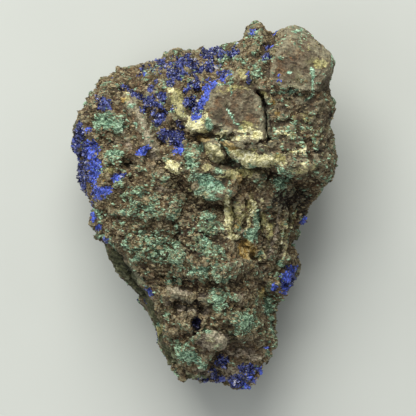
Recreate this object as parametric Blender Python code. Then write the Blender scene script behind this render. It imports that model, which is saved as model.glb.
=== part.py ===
"""Azurite and malachite on limonite gossan: one rough hand specimen, lying on its back.

+Z comes out of the face that collectors look at, and +Y runs from the narrow foot to the broad head.
The stone rests on the high spots of its broken back, at Z = 0, with the middle of its box on the Z axis.
"""

import itertools
import math
import random

import bmesh
import bpy
import numpy as np
from mathutils import Matrix, Vector
from mathutils.bvhtree import BVHTree

MM = 0.001

# Driving dimensions: the box of the whole stone, and how far its face and back stand off its widest line
WIDTH = 74.8 * MM
LENGTH = 103.0 * MM
FACE_RISE = 21.0 * MM
BACK_DROP = 22.0 * MM
REST_DEPTH = 20.5 * MM

# The mesh: how many squares across the face and down the side, and the narrowest forms that its squares can hold
FACE_SQUARES = 30
SIDE_SQUARES = 10
NARROWEST_EDGE = 3.0 * MM
NARROWEST_HOLLOW = 2.6 * MM

# The outline seen from above, as (x, y) in millimetres, anticlockwise from the right
OUTLINE = MM * np.array([
    (30.4, 0.6), (32.1, 3.4), (34.0, 6.4), (36.0, 8.1), (37.1, 10.1), (37.4, 12.3), (36.3, 16.2),
    (36.5, 18.8), (35.7, 22.4), (36.8, 25.5), (36.0, 30.2), (35.4, 33.0), (37.1, 37.0), (37.4, 38.9),
    (36.0, 41.7), (31.5, 45.9), (28.7, 47.6), (25.9, 48.7), (22.8, 47.9), (21.7, 47.0), (19.5, 47.6),
    (17.5, 49.8), (16.1, 51.5), (13.9, 49.8), (13.0, 48.4), (11.8, 45.0), (9.4, 44.0), (6.6, 45.1),
    (3.8, 43.7), (1.8, 44.2), (0.1, 45.1), (-2.9, 43.7), (-6.6, 43.1), (-10.2, 42.3), (-12.2, 40.3),
    (-15.5, 38.9), (-20.3, 37.5), (-23.9, 37.0), (-27.3, 34.4), (-29.8, 31.4), (-32.9, 27.7),
    (-34.9, 25.5), (-36.5, 20.4), (-37.4, 16.5), (-35.4, 14.3), (-34.6, 10.6), (-35.1, 8.1),
    (-34.6, 5.0), (-32.6, 2.2), (-31.8, -1.7), (-28.7, -8.1), (-26.7, -11.5), (-26.2, -14.6),
    (-24.5, -18.2), (-21.4, -21.0), (-19.7, -23.2), (-16.1, -28.6), (-14.7, -31.9), (-12.7, -34.7),
    (-12.2, -39.5), (-11.3, -42.0), (-8.5, -44.2), (-6.0, -46.8), (-2.4, -48.4), (5.2, -49.6),
    (7.4, -51.0), (10.2, -51.5), (13.0, -50.4), (15.5, -48.2), (16.4, -45.4), (16.9, -42.8),
    (19.7, -40.9), (21.1, -38.4), (22.0, -29.7), (21.7, -27.7), (25.3, -24.1), (27.0, -20.7),
    (27.6, -15.7), (26.5, -12.3), (27.9, -6.4), (30.4, -4.5), (30.7, -2.2),
])

# How square the side's profile is: a pillow at 2.8, and a block with a sharp brow at the head's right
FACE_ROUNDNESS = 2.8
BROW_ROUNDNESS = 6.5
BROW_DIRECTION = math.radians(38)
BROW_SPREAD = 0.62
BACK_ROUNDNESS = 3.0

# Broken faces that slope away, as (point x, point y, height there, downhill direction in degrees, slope)
FACE_BREAKS = [
    (-19.0, 30.5, 19.5, 106, 1.15),
    (9.5, -3.5, 21.0, -14, 0.80),
    (-6.0, -38.0, 17.0, -100, 0.80),
    (-27.0, 8.0, 20.0, 185, 0.55),
]
BACK_BREAKS = [
    (22.0, 12.0, 21.5, 12, 0.85),
    (-18.0, -12.0, 21.0, 215, 0.75),
    (2.0, 30.0, 21.0, 82, 0.90),
    (6.0, -34.0, 20.5, -70, 0.65),
]
BREAK_SOFTNESS = 1.6 * MM
LEAST_RISE = 4.5 * MM

# The flat-faced block at the head's right, whose top is a plane of its own: height at (20, 25) and tilts
BLOCK_TOP = 24.6 * MM
BLOCK_CENTRE = MM * np.array([20.0, 25.0])
BLOCK_TILT = np.array([-0.035, 0.045])
BLOCK_EDGE = 2.2 * MM
BLOCK_OUTLINE = MM * np.array([
    (2.7, 33.0), (6.9, 35.3), (11.6, 37.0), (16.4, 39.2), (20.0, 43.7), (22.5, 47.6), (27.0, 54.0),
    (43.0, 52.0), (43.0, 7.0), (34.3, 6.4), (30.0, 8.6), (26.0, 7.0), (22.8, 7.8), (19.2, 10.6),
    (13.0, 10.1), (8.0, 12.0), (2.9, 14.0), (-0.1, 16.8), (-2.7, 19.6), (-3.8, 23.0), (-0.1, 27.4),
])

# Ledges and recesses: (height, width of the edge, corners), heights up, all in millimetres
LEDGES = [
    (1.6, 1.0, [(2.7, 32.5), (11.6, 35.8), (16.4, 36.7), (16.4, 23.5), (10.2, 22.4), (4.1, 23.5), (1.0, 26.3)]),
    (1.4, 0.9, [(16.4, 38.6), (22.5, 47.6), (27.0, 54.0), (43.0, 52.0), (43.0, 29.7), (29.8, 30.0),
                (22.8, 28.8), (18.6, 30.2), (16.4, 31.9)]),
    (-1.8, 1.4, [(-2.7, 21.0), (4.5, 19.0), (11.5, 16.4), (18.6, 18.0), (19.2, 9.0), (8.0, 10.0), (-1.0, 14.0)]),
    (2.4, 1.3, [(-5.7, 9.5), (-1.0, 10.6), (5.2, 9.2), (11.2, 7.6), (8.4, 2.2), (1.8, 1.2), (-1.5, 3.9),
                (-4.9, 7.3)]),
    (1.8, 1.6, [(-29.0, 13.0), (-22.0, 15.5), (-15.0, 12.0), (-8.0, 6.0), (-7.0, -3.0), (-14.0, -6.5),
                (-24.0, -2.0), (-31.0, 3.0)]),
    (-2.8, 1.7, [(-20.0, -15.5), (-14.6, -16.8), (-9.9, -18.4), (-3.8, -21.6), (3.0, -21.2), (9.6, -18.0),
                 (16.4, -15.5), (30.0, -14.0), (30.0, -55.0), (-25.0, -55.0)]),
    (6.0, 1.3, [(-7.7, -38.9), (-4.3, -37.0), (-1.0, -34.7), (2.4, -33.9), (6.3, -35.6), (6.6, -38.4),
                (3.5, -40.9), (1.5, -44.5), (-0.1, -45.6), (-3.2, -43.4), (-6.0, -41.4)]),
    (-3.0, 2.6, [(2.9, -40.9), (8.0, -38.9), (16.4, -38.4), (20.0, -41.0), (16.4, -54.0), (0.4, -53.0),
                 (1.3, -45.4)]),
    (-8.5, 2.2, [(-30.5, -8.0), (-24.5, -9.8), (-20.4, -15.7), (-16.8, -22.1), (-14.8, -26.3), (-12.6, -31.9),
                 (-9.4, -38.4), (-7.2, -43.7), (-5.4, -50.0), (-15.0, -55.0), (-34.0, -26.3)]),
]

# Grooves: (depth, width, points along it), in millimetres
GROOVES = [
    (3.6, 2.0, [(-9.9, -18.6), (-6.8, -20.3), (-3.5, -21.9), (0.2, -22.4), (3.0, -21.8)]),
    (3.4, 2.0, [(-6.6, 4.5), (-2.4, 1.6), (1.8, -0.5), (5.5, -0.8)]),
    (2.2, 1.6, [(8.2, 11.0), (12.0, 9.4), (16.5, 9.6), (18.0, 6.5)]),
    (2.0, 2.2, [(-23.0, 30.5), (-17.0, 27.5), (-12.5, 27.0), (-8.5, 20.0), (-6.2, 14.5)]),
    (1.8, 1.8, [(-3.4, 24.5), (0.0, 29.5), (3.4, 34.5), (9.0, 38.5)]),
    (2.4, 2.4, [(11.5, -10.5), (15.5, -17.5), (18.0, -26.0)]),
]

# Hollows and lumps: (x, y, radius, depth), in millimetres, and a lump's depth is below zero
HOLLOWS = [
    (26.0, 3.0, 5.0, 4.5), (-26.4, 17.2, 3.0, 3.2), (-20.3, 11.4, 2.2, 2.8), (-13.7, 13.8, 1.9, 2.4),
    (-5.9, -27.0, 2.6, 3.6), (-1.5, -26.6, 2.2, 2.6), (1.4, -28.0, 2.4, 3.2), (-5.0, -2.0, 2.4, 2.2),
    (-7.5, 19.0, 2.0, 1.6), (13.0, 5.2, 2.6, 2.0), (12.3, -38.0, 2.4, 1.6),
    (-0.4, 41.5, 2.6, -3.6), (6.2, 42.2, 2.2, -3.2), (15.4, 46.5, 3.0, -6.0), (13.8, 41.5, 2.6, -3.0),
    (24.8, -20.4, 3.4, -5.5), (25.5, -14.0, 2.4, -3.0), (-10.5, 39.0, 3.0, -2.0), (-30.5, 22.5, 2.6, -1.6),
    (10.5, -47.5, 3.4, -2.4), (5.8, -8.6, 3.2, -1.8), (-15.0, -11.0, 3.6, -1.4),
    (12.0, -12.3, 3.0, -2.2), (3.5, -27.0, 2.2, -1.4), (-9.0, -29.0, 1.8, -1.0), (10.0, -31.0, 3.6, -1.6),
]

# Swells of the broken back that touch the table: (x, y, radius, height), in millimetres
RESTING_SWELLS = [(-15.0, 20.0, 9.0, 3.4), (19.0, 22.0, 8.0, 3.4), (7.0, -26.0, 8.5, 4.2), (-9.0, -7.0, 6.0, 2.2)]

# Chunks that the rock breaks into: (size, height) in millimetres, and the seed of each set
CHUNKS = [(17.0, 2.4, 11), (8.5, 1.7, 23), (4.6, 0.9, 37)]
CHUNK_CREASE = 14.0
EDGE_CHUNKS = 0.45

# The widest line isn't level. It rises and dips round the stone, as (height in millimetres, waves, start in
# degrees), and its chunks are out of line, as (size, height) in millimetres and the seed of each set
RIM_WAVES = [(3.6, 2, 40.0), (2.6, 3, -60.0), (1.4, 5, 110.0)]
RIM_CHUNKS = [(13.0, 3.4, 51), (6.0, 1.6, 67)]

# The open crack down the block, as (x, y) in millimetres, with its widest gap and its depth
CRACK_LINE = MM * np.array([(15.2, 30.4), (16.9, 28.8), (17.8, 26.3), (18.1, 23.0), (18.1, 20.2), (18.6, 17.4)])
CRACK_GAP = 1.1 * MM
CRACK_DEPTH = 3.4 * MM

# The little vug, an egg-shaped pocket in the stone, and the crust that lines it
VUG_PLACE = MM * np.array([-2.0, -32.6])
VUG_SIZE = MM * np.array([2.3, 2.8, 4.8])
VUG_TILT = math.radians(18)
VUG_SUNK = 0.45
CRUST_CLEARANCE = 0.35 * MM
CRUST_WALL = 0.7 * MM
CRUST_CRYSTALS = 11
CRUST_CRYSTAL = 1.15 * MM
CRUST_CRYSTAL_SUNK = 0.12

# Beds of azurite crystals that are large enough to break the outline:
# (x, y, half width, half height, how many, crystal size), in millimetres
AZURITE_BEDS = [
    (-30.8, 10.0, 1.8, 7.5, 10, 3.4), (-1.0, 39.6, 11.0, 2.4, 13, 3.3), (-17.0, 35.6, 6.0, 1.4, 5, 3.0),
    (-5.2, 35.4, 3.6, 1.8, 5, 3.0), (0.6, 30.3, 2.2, 4.2, 7, 3.0), (-13.6, 29.4, 3.8, 1.6, 5, 3.0),
    (-12.4, 22.6, 2.6, 3.4, 8, 3.2), (-6.6, 17.8, 1.5, 2.8, 5, 3.0), (-27.4, 27.6, 2.2, 1.6, 4, 3.0),
    (24.2, -20.4, 1.6, 2.0, 5, 3.2), (7.6, -43.6, 4.2, 1.8, 7, 2.8), (11.4, -47.4, 3.0, 1.0, 4, 2.6),
    (18.2, 42.6, 1.2, 2.0, 4, 2.8), (13.4, 45.6, 0.8, 1.2, 2, 2.8),
]
CRYSTAL_SUNK = 0.55


# Finishes: (colour, roughness)
GOSSAN_FINISH = ((0.118, 0.096, 0.062), 0.85)
AZURITE_FINISH = ((0.022, 0.034, 0.20), 0.35)

THREE_AXES = range(3)

# A place well above the stone, and the way down from it, for finding the surface below
ABOVE = Vector((0.0, 0.0, 2.0 * FACE_RISE + BACK_DROP))
DOWN = Vector((0.0, 0.0, -1.0))


def clear_scene():
    for obj in list(bpy.data.objects):
        bpy.data.objects.remove(obj, do_unlink=True)


def finish(name, colour, roughness):
    material = bpy.data.materials.new(name)
    material.use_nodes = True
    shader = material.node_tree.nodes["Principled BSDF"]
    shader.inputs["Base Color"].default_value = (*colour, 1.0)
    shader.inputs["Roughness"].default_value = roughness
    shader.inputs["Metallic"].default_value = 0.0
    return material


def link(name, mesh, material=None):
    obj = bpy.data.objects.new(name, mesh)
    bpy.context.scene.collection.objects.link(obj)
    if material:
        obj.data.materials.append(material)
    return obj


def ease(t):
    """A smooth step from 0 to 1."""
    t = np.clip(t, 0.0, 1.0)
    return t * t * (3.0 - 2.0 * t)


def hashed(cells, seed):
    """A repeatable number from 0 to 1 for each cell of a cubic lattice."""
    mixed = cells[:, 0] * 73856093 ^ cells[:, 1] * 19349663 ^ cells[:, 2] * 83492791 ^ seed * 40503
    mixed = (mixed & 0xFFFFFFFF) * 2654435761 & 0xFFFFFFFF
    mixed = ((mixed >> 15) ^ mixed) * 2246822519 & 0xFFFFFFFF
    return ((mixed >> 13) ^ mixed) % 65536 / 65535.0


def chunks(points, size, seed):
    """Tilted facets, from about -1 to 1: every cell of a lattice owns one plane, and near planes blend in a crease."""
    scaled = points / size
    home = np.floor(scaled).astype(np.int64)
    height, share = 0.0, 1e-12
    for step in itertools.product((-1, 0, 1), repeat=3):
        cell = home + np.array(step)
        away = scaled - cell - np.stack([hashed(cell, seed + k) for k in THREE_AXES], axis=1)
        tilt = np.stack([hashed(cell, seed + 5 + k) - 0.5 for k in THREE_AXES], axis=1)
        level = hashed(cell, seed + 9) * 2.0 - 1.0 + 1.6 * (away * tilt).sum(axis=1)
        near = np.exp(-CHUNK_CREASE * (away**2).sum(axis=1))
        height = height + near * level
        share = share + near
    return height / share


def distance_to_line(places, corners):
    """How far each place is from a line through the corners."""
    nearest = np.full(len(places), np.inf)
    for start, end in zip(corners[:-1], corners[1:]):
        along = end - start
        share = np.clip(((places - start) @ along) / (along @ along), 0.0, 1.0)
        nearest = np.minimum(nearest, np.linalg.norm(places - start - share[:, None] * along, axis=1))
    return nearest


def depth_inside(places, corners):
    """How deep each place lies inside a closed outline, below zero outside it."""
    inside = np.zeros(len(places), bool)
    for (x0, y0), (x1, y1) in zip(corners, np.roll(corners, -1, axis=0)):
        crosses = (y0 > places[:, 1]) != (y1 > places[:, 1])
        if y0 != y1:
            inside ^= crosses & (places[:, 0] < x0 + (places[:, 1] - y0) * (x1 - x0) / (y1 - y0))
    away = distance_to_line(places, np.vstack([corners, corners[:1]]))
    return np.where(inside, away, -away)


def lower_of(a, b):
    """The lower of two heights, rounded where they meet."""
    share = np.clip(0.5 + 0.5 * (b - a) / BREAK_SOFTNESS, 0.0, 1.0)
    return b + (a - b) * share - BREAK_SOFTNESS * share * (1.0 - share)


def broken(height, places, breaks):
    """A height cut down by sloping broken faces."""
    for x, y, level, downhill, slope in breaks:
        way = np.array([math.cos(math.radians(downhill)), math.sin(math.radians(downhill))])
        height = lower_of(height, level * MM - slope * ((places - MM * np.array([x, y])) @ way))
    return height


def face_height(places):
    """How far the face stands above the stone's widest line."""
    height = broken(np.full(len(places), FACE_RISE), places, FACE_BREAKS)
    block = BLOCK_TOP + (places - BLOCK_CENTRE) @ BLOCK_TILT
    height += (block - height) * ease(0.5 + depth_inside(places, BLOCK_OUTLINE) / BLOCK_EDGE)
    for rise, edge, corners in LEDGES:
        width = max(edge * MM, NARROWEST_EDGE)
        height += rise * MM * ease(0.5 + depth_inside(places, MM * np.array(corners)) / width)
    for depth, half_width, line in GROOVES:
        width = max(half_width * MM, NARROWEST_EDGE)
        height -= depth * MM * np.exp(-((distance_to_line(places, MM * np.array(line)) / width) ** 2))
    return -lower_of(-(height - bumps(places, HOLLOWS)), -LEAST_RISE)


def bumps(places, spots):
    """The sum of round bumps."""
    height = np.zeros(len(places))
    for x, y, radius, rise in spots:
        away = np.linalg.norm(places - MM * np.array([x, y]), axis=1)
        height += rise * MM * np.exp(-(away / max(radius * MM, NARROWEST_HOLLOW)) ** 2)
    return height


def back_depth(places):
    """How far the broken back stands below the stone's widest line."""
    height = np.full(len(places), BACK_DROP - 2.2 * MM)
    return broken(height, places, BACK_BREAKS) + bumps(places, RESTING_SWELLS)


def outline_radius(angle):
    """The distance from the middle to the outline in each direction."""
    corner_angles = np.unwrap(np.arctan2(OUTLINE[:, 1], OUTLINE[:, 0]))
    first, turn = corner_angles[0], 2.0 * math.pi
    place = (angle - first) % turn + first
    angles = np.append(corner_angles, first + turn)
    ring = np.vstack([OUTLINE, OUTLINE[:1]])
    side = np.clip(np.searchsorted(angles, place, side="right") - 1, 0, len(OUTLINE) - 1)
    start, along = ring[side], ring[side + 1] - ring[side]
    way = np.stack([np.cos(place), np.sin(place)], axis=1)
    across = way[:, 0] * along[:, 1] - way[:, 1] * along[:, 0]
    return (start[:, 0] * along[:, 1] - start[:, 1] * along[:, 0]) / across


def stone_points(cube):
    """Carries points of a cube's surface, from -1 to 1, to the stone.

    The cube's top becomes the face, its bottom the back, and its sides the edge all round. A place on the top
    is a direction and a share of the outline's radius, and the profile from face to edge is a superellipse.
    """
    across, up = cube[:, :2], np.clip(cube[:, 2], -1.0, 1.0)
    share = np.abs(across).max(axis=1)
    x, y = across[:, 0], across[:, 1]
    wide = np.abs(x) >= np.abs(y)
    ratio = np.where(wide, y / np.where(wide & (x != 0), x, 1.0), x / np.where(wide | (y == 0), 1.0, y))
    angle = np.where(wide, ratio * math.pi / 4 + (x < 0) * math.pi,
                     math.pi / 2 - ratio * math.pi / 4 + (y < 0) * math.pi)
    off_brow = (angle - BROW_DIRECTION + math.pi) % (2.0 * math.pi) - math.pi
    brow = np.exp(-(off_brow / BROW_SPREAD) ** 2)
    face = up >= 0.0
    roundness = np.where(face, FACE_ROUNDNESS + (BROW_ROUNDNESS - FACE_ROUNDNESS) * brow, BACK_ROUNDNESS)
    squash = (share**roundness + np.abs(up) ** roundness) ** (-1.0 / roundness)
    share, up = share * squash, up * squash
    way = np.stack([np.cos(angle), np.sin(angle)], axis=1)
    edge = way * outline_radius(angle)[:, None]
    places = edge * share[:, None]
    height = up * np.where(face, face_height(places), back_depth(places))
    rim = sum(rise * MM * np.sin(waves * angle + math.radians(start)) for rise, waves, start in RIM_WAVES)
    level_edge = np.column_stack([edge, np.zeros(len(edge))])
    rim += sum(rise * MM * chunks(level_edge, size * MM, seed) for size, rise, seed in RIM_CHUNKS)
    points = np.column_stack([places, height + rim * (1.0 - up**2)])
    outward = np.column_stack([way * (share**2)[:, None], up * np.abs(up)])
    outward /= np.linalg.norm(outward, axis=1)[:, None]
    relief = sum(rise * MM * chunks(points, size * MM, seed) for size, rise, seed in CHUNKS)
    return points + outward * (relief * (EDGE_CHUNKS + (1.0 - EDGE_CHUNKS) * np.abs(up)))[:, None]


def set_on_table(points):
    """Fits the stone to its width and length, and flattens the high spots of its back on the table at Z = 0."""
    low, high = points.min(axis=0), points.max(axis=0)
    middle, span = (low + high) / 2.0, high - low
    points[:, :2] = (points[:, :2] - middle[:2]) / span[:2] * np.array([WIDTH, LENGTH])
    points[:, 2] = np.maximum(points[:, 2] + REST_DEPTH, 0.0)
    return points


def gridded_cube():
    """A cube from -1 to 1, each side cut into squares."""
    bm = bmesh.new()
    bmesh.ops.create_cube(bm, size=2.0)
    upright = [e for e in bm.edges if abs(e.verts[0].co.z - e.verts[1].co.z) > 1.0]
    bmesh.ops.subdivide_edges(bm, edges=upright, cuts=SIDE_SQUARES - 1, use_grid_fill=True)
    level = [e for e in bm.edges if abs(e.verts[0].co.z - e.verts[1].co.z) < 1e-6]
    bmesh.ops.subdivide_edges(bm, edges=level, cuts=FACE_SQUARES - 1, use_grid_fill=True)
    return bm


def stone_mesh():
    bm = gridded_cube()
    points = set_on_table(stone_points(np.array([v.co for v in bm.verts])))
    for vert, point in zip(bm.verts, points):
        vert.co = point
    bmesh.ops.triangulate(bm, faces=bm.faces)
    bmesh.ops.recalc_face_normals(bm, faces=bm.faces)
    return bm


def crystal(bm, place, way, length, sunk, dice):
    """Adds one stubby azurite crystal, a flattened six-sided prism that narrows, with a share of it sunk."""
    across = length * dice.uniform(0.34, 0.46)
    made = bmesh.ops.create_cone(bm, cap_ends=True, cap_tris=False, segments=6, radius1=across,
                                 radius2=across * dice.uniform(0.35, 0.6), depth=length)
    flatten = Matrix.Diagonal((1.0, dice.uniform(0.55, 0.8), 1.0, 1.0))
    spin = Matrix.Rotation(dice.uniform(0.0, math.pi), 4, "Z")
    lean = Vector([dice.uniform(-0.45, 0.45) for _ in THREE_AXES])
    turn = (way + lean).to_track_quat("Z", "Y").to_matrix().to_4x4()
    stand = Matrix.Translation(place + way * length * (0.5 - sunk))
    bmesh.ops.transform(bm, matrix=stand @ turn @ spin @ flatten, verts=made["verts"])


def azurite_mesh(stone):
    """The larger azurite crystals, each seated on the stone below its place."""
    seats = BVHTree.FromBMesh(stone)
    dice = random.Random(7)
    bm = bmesh.new()
    for x, y, half_width, half_height, count, size in AZURITE_BEDS:
        for _ in range(count):
            turn, reach = dice.uniform(0.0, 2.0 * math.pi), math.sqrt(dice.random())
            place = Vector(((x + half_width * reach * math.cos(turn)) * MM,
                            (y + half_height * reach * math.sin(turn)) * MM, 0.0))
            seat, normal, _, _ = seats.ray_cast(place + ABOVE, DOWN)
            if seat:
                crystal(bm, seat, normal, size * MM * dice.uniform(0.8, 1.25), CRYSTAL_SUNK, dice)
    return bm


def crack_mesh(stone):
    """A thin tapering blade along the crack, deepest in its middle."""
    bm = bmesh.new()
    seats = BVHTree.FromBMesh(stone)
    line = [Vector((x, y, 0.0)) for x, y in CRACK_LINE]
    rings = []
    for k, place in enumerate(line):
        ahead = line[min(k + 1, len(line) - 1)] - line[max(k - 1, 0)]
        side = Vector((-ahead.y, ahead.x, 0.0)).normalized()
        swell = math.sin(math.pi * (k + 0.6) / (len(line) + 0.2))
        top, _, _, _ = seats.ray_cast(place + ABOVE, DOWN)
        gap = side * CRACK_GAP * 0.5 * swell
        rise, root = Vector((0.0, 0.0, 2.0 * MM)), Vector((0.0, 0.0, -CRACK_DEPTH * swell))
        rings.append([bm.verts.new(p) for p in (top + rise - gap, top + rise + gap, top + root + gap * 0.4,
                                                top + root - gap * 0.4)])
    for first, second in zip(rings[:-1], rings[1:]):
        for k in range(4):
            bm.faces.new((first[k], first[(k + 1) % 4], second[(k + 1) % 4], second[k]))
    bm.faces.new(rings[0][::-1])
    bm.faces.new(rings[-1])
    bmesh.ops.recalc_face_normals(bm, faces=bm.faces)
    return bm


def vug_mesh(place, shrink):
    """The vug's egg-shaped pocket, made smaller all round by shrink."""
    bm = bmesh.new()
    bmesh.ops.create_icosphere(bm, subdivisions=2, radius=1.0)
    size = Matrix.Diagonal((*(VUG_SIZE - shrink), 1.0))
    turn = Matrix.Rotation(VUG_TILT, 4, "X")
    bmesh.ops.transform(bm, matrix=Matrix.Translation(place) @ turn @ size, verts=bm.verts)
    return bm


def as_object(name, bm, material=None):
    mesh = bpy.data.meshes.new(name)
    bm.to_mesh(mesh)
    bm.free()
    return link(name, mesh, material)


def helper(name, bm):
    """A cutter or an addition that isn't itself a piece."""
    obj = as_object(name, bm)
    obj.hide_render = True
    obj.display_type = "WIRE"
    return obj


def boolean(obj, operation, other, crossing=False):
    modifier = obj.modifiers.new(f"{operation.lower()} {other.name}", "BOOLEAN")
    modifier.operation = operation
    modifier.solver = "EXACT"
    modifier.use_self = crossing
    modifier.object = other


def apply_booleans(obj):
    """Gives the object the mesh that its Booleans make, without the loose crumbs that a cut can leave."""
    bpy.context.view_layer.update()
    graph = bpy.context.evaluated_depsgraph_get()
    cut = bpy.data.meshes.new_from_object(obj.evaluated_get(graph))
    obj.modifiers.clear()
    bm = bmesh.new()
    bm.from_mesh(cut)
    bodies, unseen = [], set(bm.faces)
    while unseen:
        body, ahead = [], [unseen.pop()]
        while ahead:
            face = ahead.pop()
            body.append(face)
            near = {f for e in face.edges if len(e.link_faces) == 2 for f in e.link_faces} & unseen
            unseen -= near
            ahead.extend(near)
        bodies.append(body)
    bodies.sort(key=len)
    bmesh.ops.delete(bm, geom=[face for body in bodies[:-1] for face in body], context="FACES")
    bm.to_mesh(obj.data)
    bm.free()


def vug_crust(place, material):
    """The cup of small azurite crystals that lines the vug, open at the stone's face."""
    crust = as_object("vug_azurite_crust", vug_mesh(place, CRUST_CLEARANCE), material)
    hollow = vug_mesh(place + Vector((0.0, 0.0, 2.2 * CRUST_WALL)), CRUST_CLEARANCE + CRUST_WALL)
    boolean(crust, "DIFFERENCE", helper("vug_hollow", hollow))
    lid = bmesh.new()
    bmesh.ops.create_cube(lid, size=VUG_SIZE[2] * 4.0)
    mouth = place.z - VUG_SIZE[2] * 0.1
    bmesh.ops.translate(lid, verts=lid.verts, vec=(place.x, place.y, mouth + VUG_SIZE[2] * 2.0))
    boolean(crust, "DIFFERENCE", helper("vug_mouth", lid))
    dice = random.Random(3)
    points = bmesh.new()
    for k in range(CRUST_CRYSTALS):
        turn = k * math.pi * (3.0 - math.sqrt(5.0))
        drop = -0.35 - 0.6 * k / CRUST_CRYSTALS
        ring = math.sqrt(1.0 - drop * drop)
        way = Vector((ring * math.cos(turn), ring * math.sin(turn), drop))
        root = place + Vector([way[axis] * (VUG_SIZE[axis] - CRUST_CLEARANCE - CRUST_WALL) for axis in THREE_AXES])
        crystal(points, root, -way, CRUST_CRYSTAL * dice.uniform(0.8, 1.2), CRUST_CRYSTAL_SUNK, dice)
    boolean(crust, "UNION", helper("vug_crystals", points), crossing=True)


def build():
    clear_scene()
    gossan = finish("limonite gossan", *GOSSAN_FINISH)
    azurite = finish("azurite", *AZURITE_FINISH)
    stone = stone_mesh()
    crystals = helper("azurite_crystals", azurite_mesh(stone))
    crack = helper("crack_cutter", crack_mesh(stone))
    mouth, _, _, _ = BVHTree.FromBMesh(stone).ray_cast(Vector((*VUG_PLACE, 0.0)) + ABOVE, DOWN)
    vug_centre = mouth - Vector((0.0, 0.0, VUG_SIZE[2] * VUG_SUNK))
    pocket = helper("vug_cutter", vug_mesh(vug_centre, 0.0))
    specimen = as_object("azurite_specimen", stone, gossan)
    boolean(specimen, "UNION", crystals, crossing=True)
    boolean(specimen, "DIFFERENCE", crack)
    boolean(specimen, "DIFFERENCE", pocket)
    apply_booleans(specimen)
    vug_crust(vug_centre, azurite)


build()
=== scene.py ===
# %% [markdown]
# # A specimen of azurite and malachite on limonite gossan
#
# The real object is one broken stone, 103 mm long. Its body is gossan, the brown, crumbly iron oxide that
# caps a copper deposit. Blue azurite and green malachite grew on it and in its cracks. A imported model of
# the stone's form is loaded first. Everything after it dresses that form: a finer surface, thousands of
# small crystals and grains, and the finishes.

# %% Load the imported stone
import itertools
import math

import bpy
import numpy as np
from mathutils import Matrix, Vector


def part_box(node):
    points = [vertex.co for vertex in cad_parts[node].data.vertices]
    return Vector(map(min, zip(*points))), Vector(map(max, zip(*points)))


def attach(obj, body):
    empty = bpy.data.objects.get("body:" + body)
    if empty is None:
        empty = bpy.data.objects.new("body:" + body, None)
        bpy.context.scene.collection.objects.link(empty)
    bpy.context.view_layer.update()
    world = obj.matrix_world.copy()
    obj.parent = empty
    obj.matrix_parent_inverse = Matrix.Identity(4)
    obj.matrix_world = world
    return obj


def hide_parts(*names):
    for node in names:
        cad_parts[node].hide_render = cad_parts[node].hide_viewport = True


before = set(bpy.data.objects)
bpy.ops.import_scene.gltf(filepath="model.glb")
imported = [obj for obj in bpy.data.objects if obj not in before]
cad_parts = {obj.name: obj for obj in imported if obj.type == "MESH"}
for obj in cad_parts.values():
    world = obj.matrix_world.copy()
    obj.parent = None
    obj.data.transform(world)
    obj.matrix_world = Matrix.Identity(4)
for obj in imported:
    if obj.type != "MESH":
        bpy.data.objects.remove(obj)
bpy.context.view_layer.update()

MM = 0.001

# %% [markdown]
# ## Places on the photograph
#
# The stone's patches of colour have no rule, so each is placed one by one. Their places are read in the
# photograph's pixels and turned to metres here. One pixel is 0.28 mm, which makes the stone 103 mm long.
# The stone lies on its back, so the photograph's up is +Y, and its right is +X.

# %% From the photograph's pixels to the stone
MM_PER_PIXEL = 0.28
MIDDLE_PIXEL = np.array([203.5, 206.0])


def on_stone(pixels):
    """Pixels of the photograph as X and Y in metres."""
    return (np.array(pixels, float) - MIDDLE_PIXEL) * (1.0, -1.0) * MM_PER_PIXEL * MM


print("the photograph's top left corner in mm:", on_stone((0, 0)) / MM)

# %% [markdown]
# ## Noise that can be repeated
#
# Broken rock is made of facets at every size. A lattice of cells gives them: each cell owns a random
# tilted plane, and near planes blend in a crease. The random values come from whole numbers mixed
# together, so the same point always gets the same value, in the solid model and here.

# %% Random values, facets and soft blotches
THREE_AXES = range(3)
FACET_CREASE, FACET_TILT = 14.0, 1.6
DOME_HEIGHT, DOME_CURVE = 0.8, 1.5


def ease(t):
    """A smooth step from 0 to 1: three t squared less two t cubed."""
    t = np.clip(t, 0.0, 1.0)
    return t * t * (3.0 - 2.0 * t)


def hashed(cells, seed):
    """A repeatable number from 0 to 1 for each cell of a cubic lattice."""
    mixed = cells[:, 0] * 73856093 ^ cells[:, 1] * 19349663 ^ cells[:, 2] * 83492791 ^ seed * 40503
    mixed = (mixed & 0xFFFFFFFF) * 2654435761 & 0xFFFFFFFF
    mixed = ((mixed >> 15) ^ mixed) * 2246822519 & 0xFFFFFFFF
    return ((mixed >> 13) ^ mixed) % 65536 / 65535.0


def near_cells(points, size, seed):
    """For each of the 27 cells round a point: the cell, and the point's offset from that cell's place."""
    scaled = points / size
    home = np.floor(scaled).astype(np.int64)
    for step in itertools.product((-1, 0, 1), repeat=3):
        cell = home + np.array(step)
        yield cell, scaled - cell - np.stack([hashed(cell, seed + k) for k in THREE_AXES], axis=1)


def chunks(points, size, seed, crease=FACET_CREASE):
    """Tilted facets, from about -1 to 1: the planes of near cells, each weighted by e to the minus crease
    times distance squared."""
    height, share = 0.0, 1e-12
    for cell, away in near_cells(points, size, seed):
        tilt = np.stack([hashed(cell, seed + 5 + k) - 0.5 for k in THREE_AXES], axis=1)
        level = hashed(cell, seed + 9) * 2.0 - 1.0 + FACET_TILT * (away * tilt).sum(axis=1)
        near = np.exp(-crease * (away**2).sum(axis=1))
        height = height + near * level
        share = share + near
    return height / share


def lumps(points, size, seed):
    """Rounded grains with sharp gaps: every cell owns a dome, its height less its curve times distance
    squared, and the highest dome shows."""
    highest = np.full(len(points), -np.inf)
    for cell, away in near_cells(points, size, seed):
        dome = DOME_HEIGHT * hashed(cell, seed + 9) - DOME_CURVE * (away**2).sum(axis=1)
        highest = np.maximum(highest, dome)
    return highest


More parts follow.
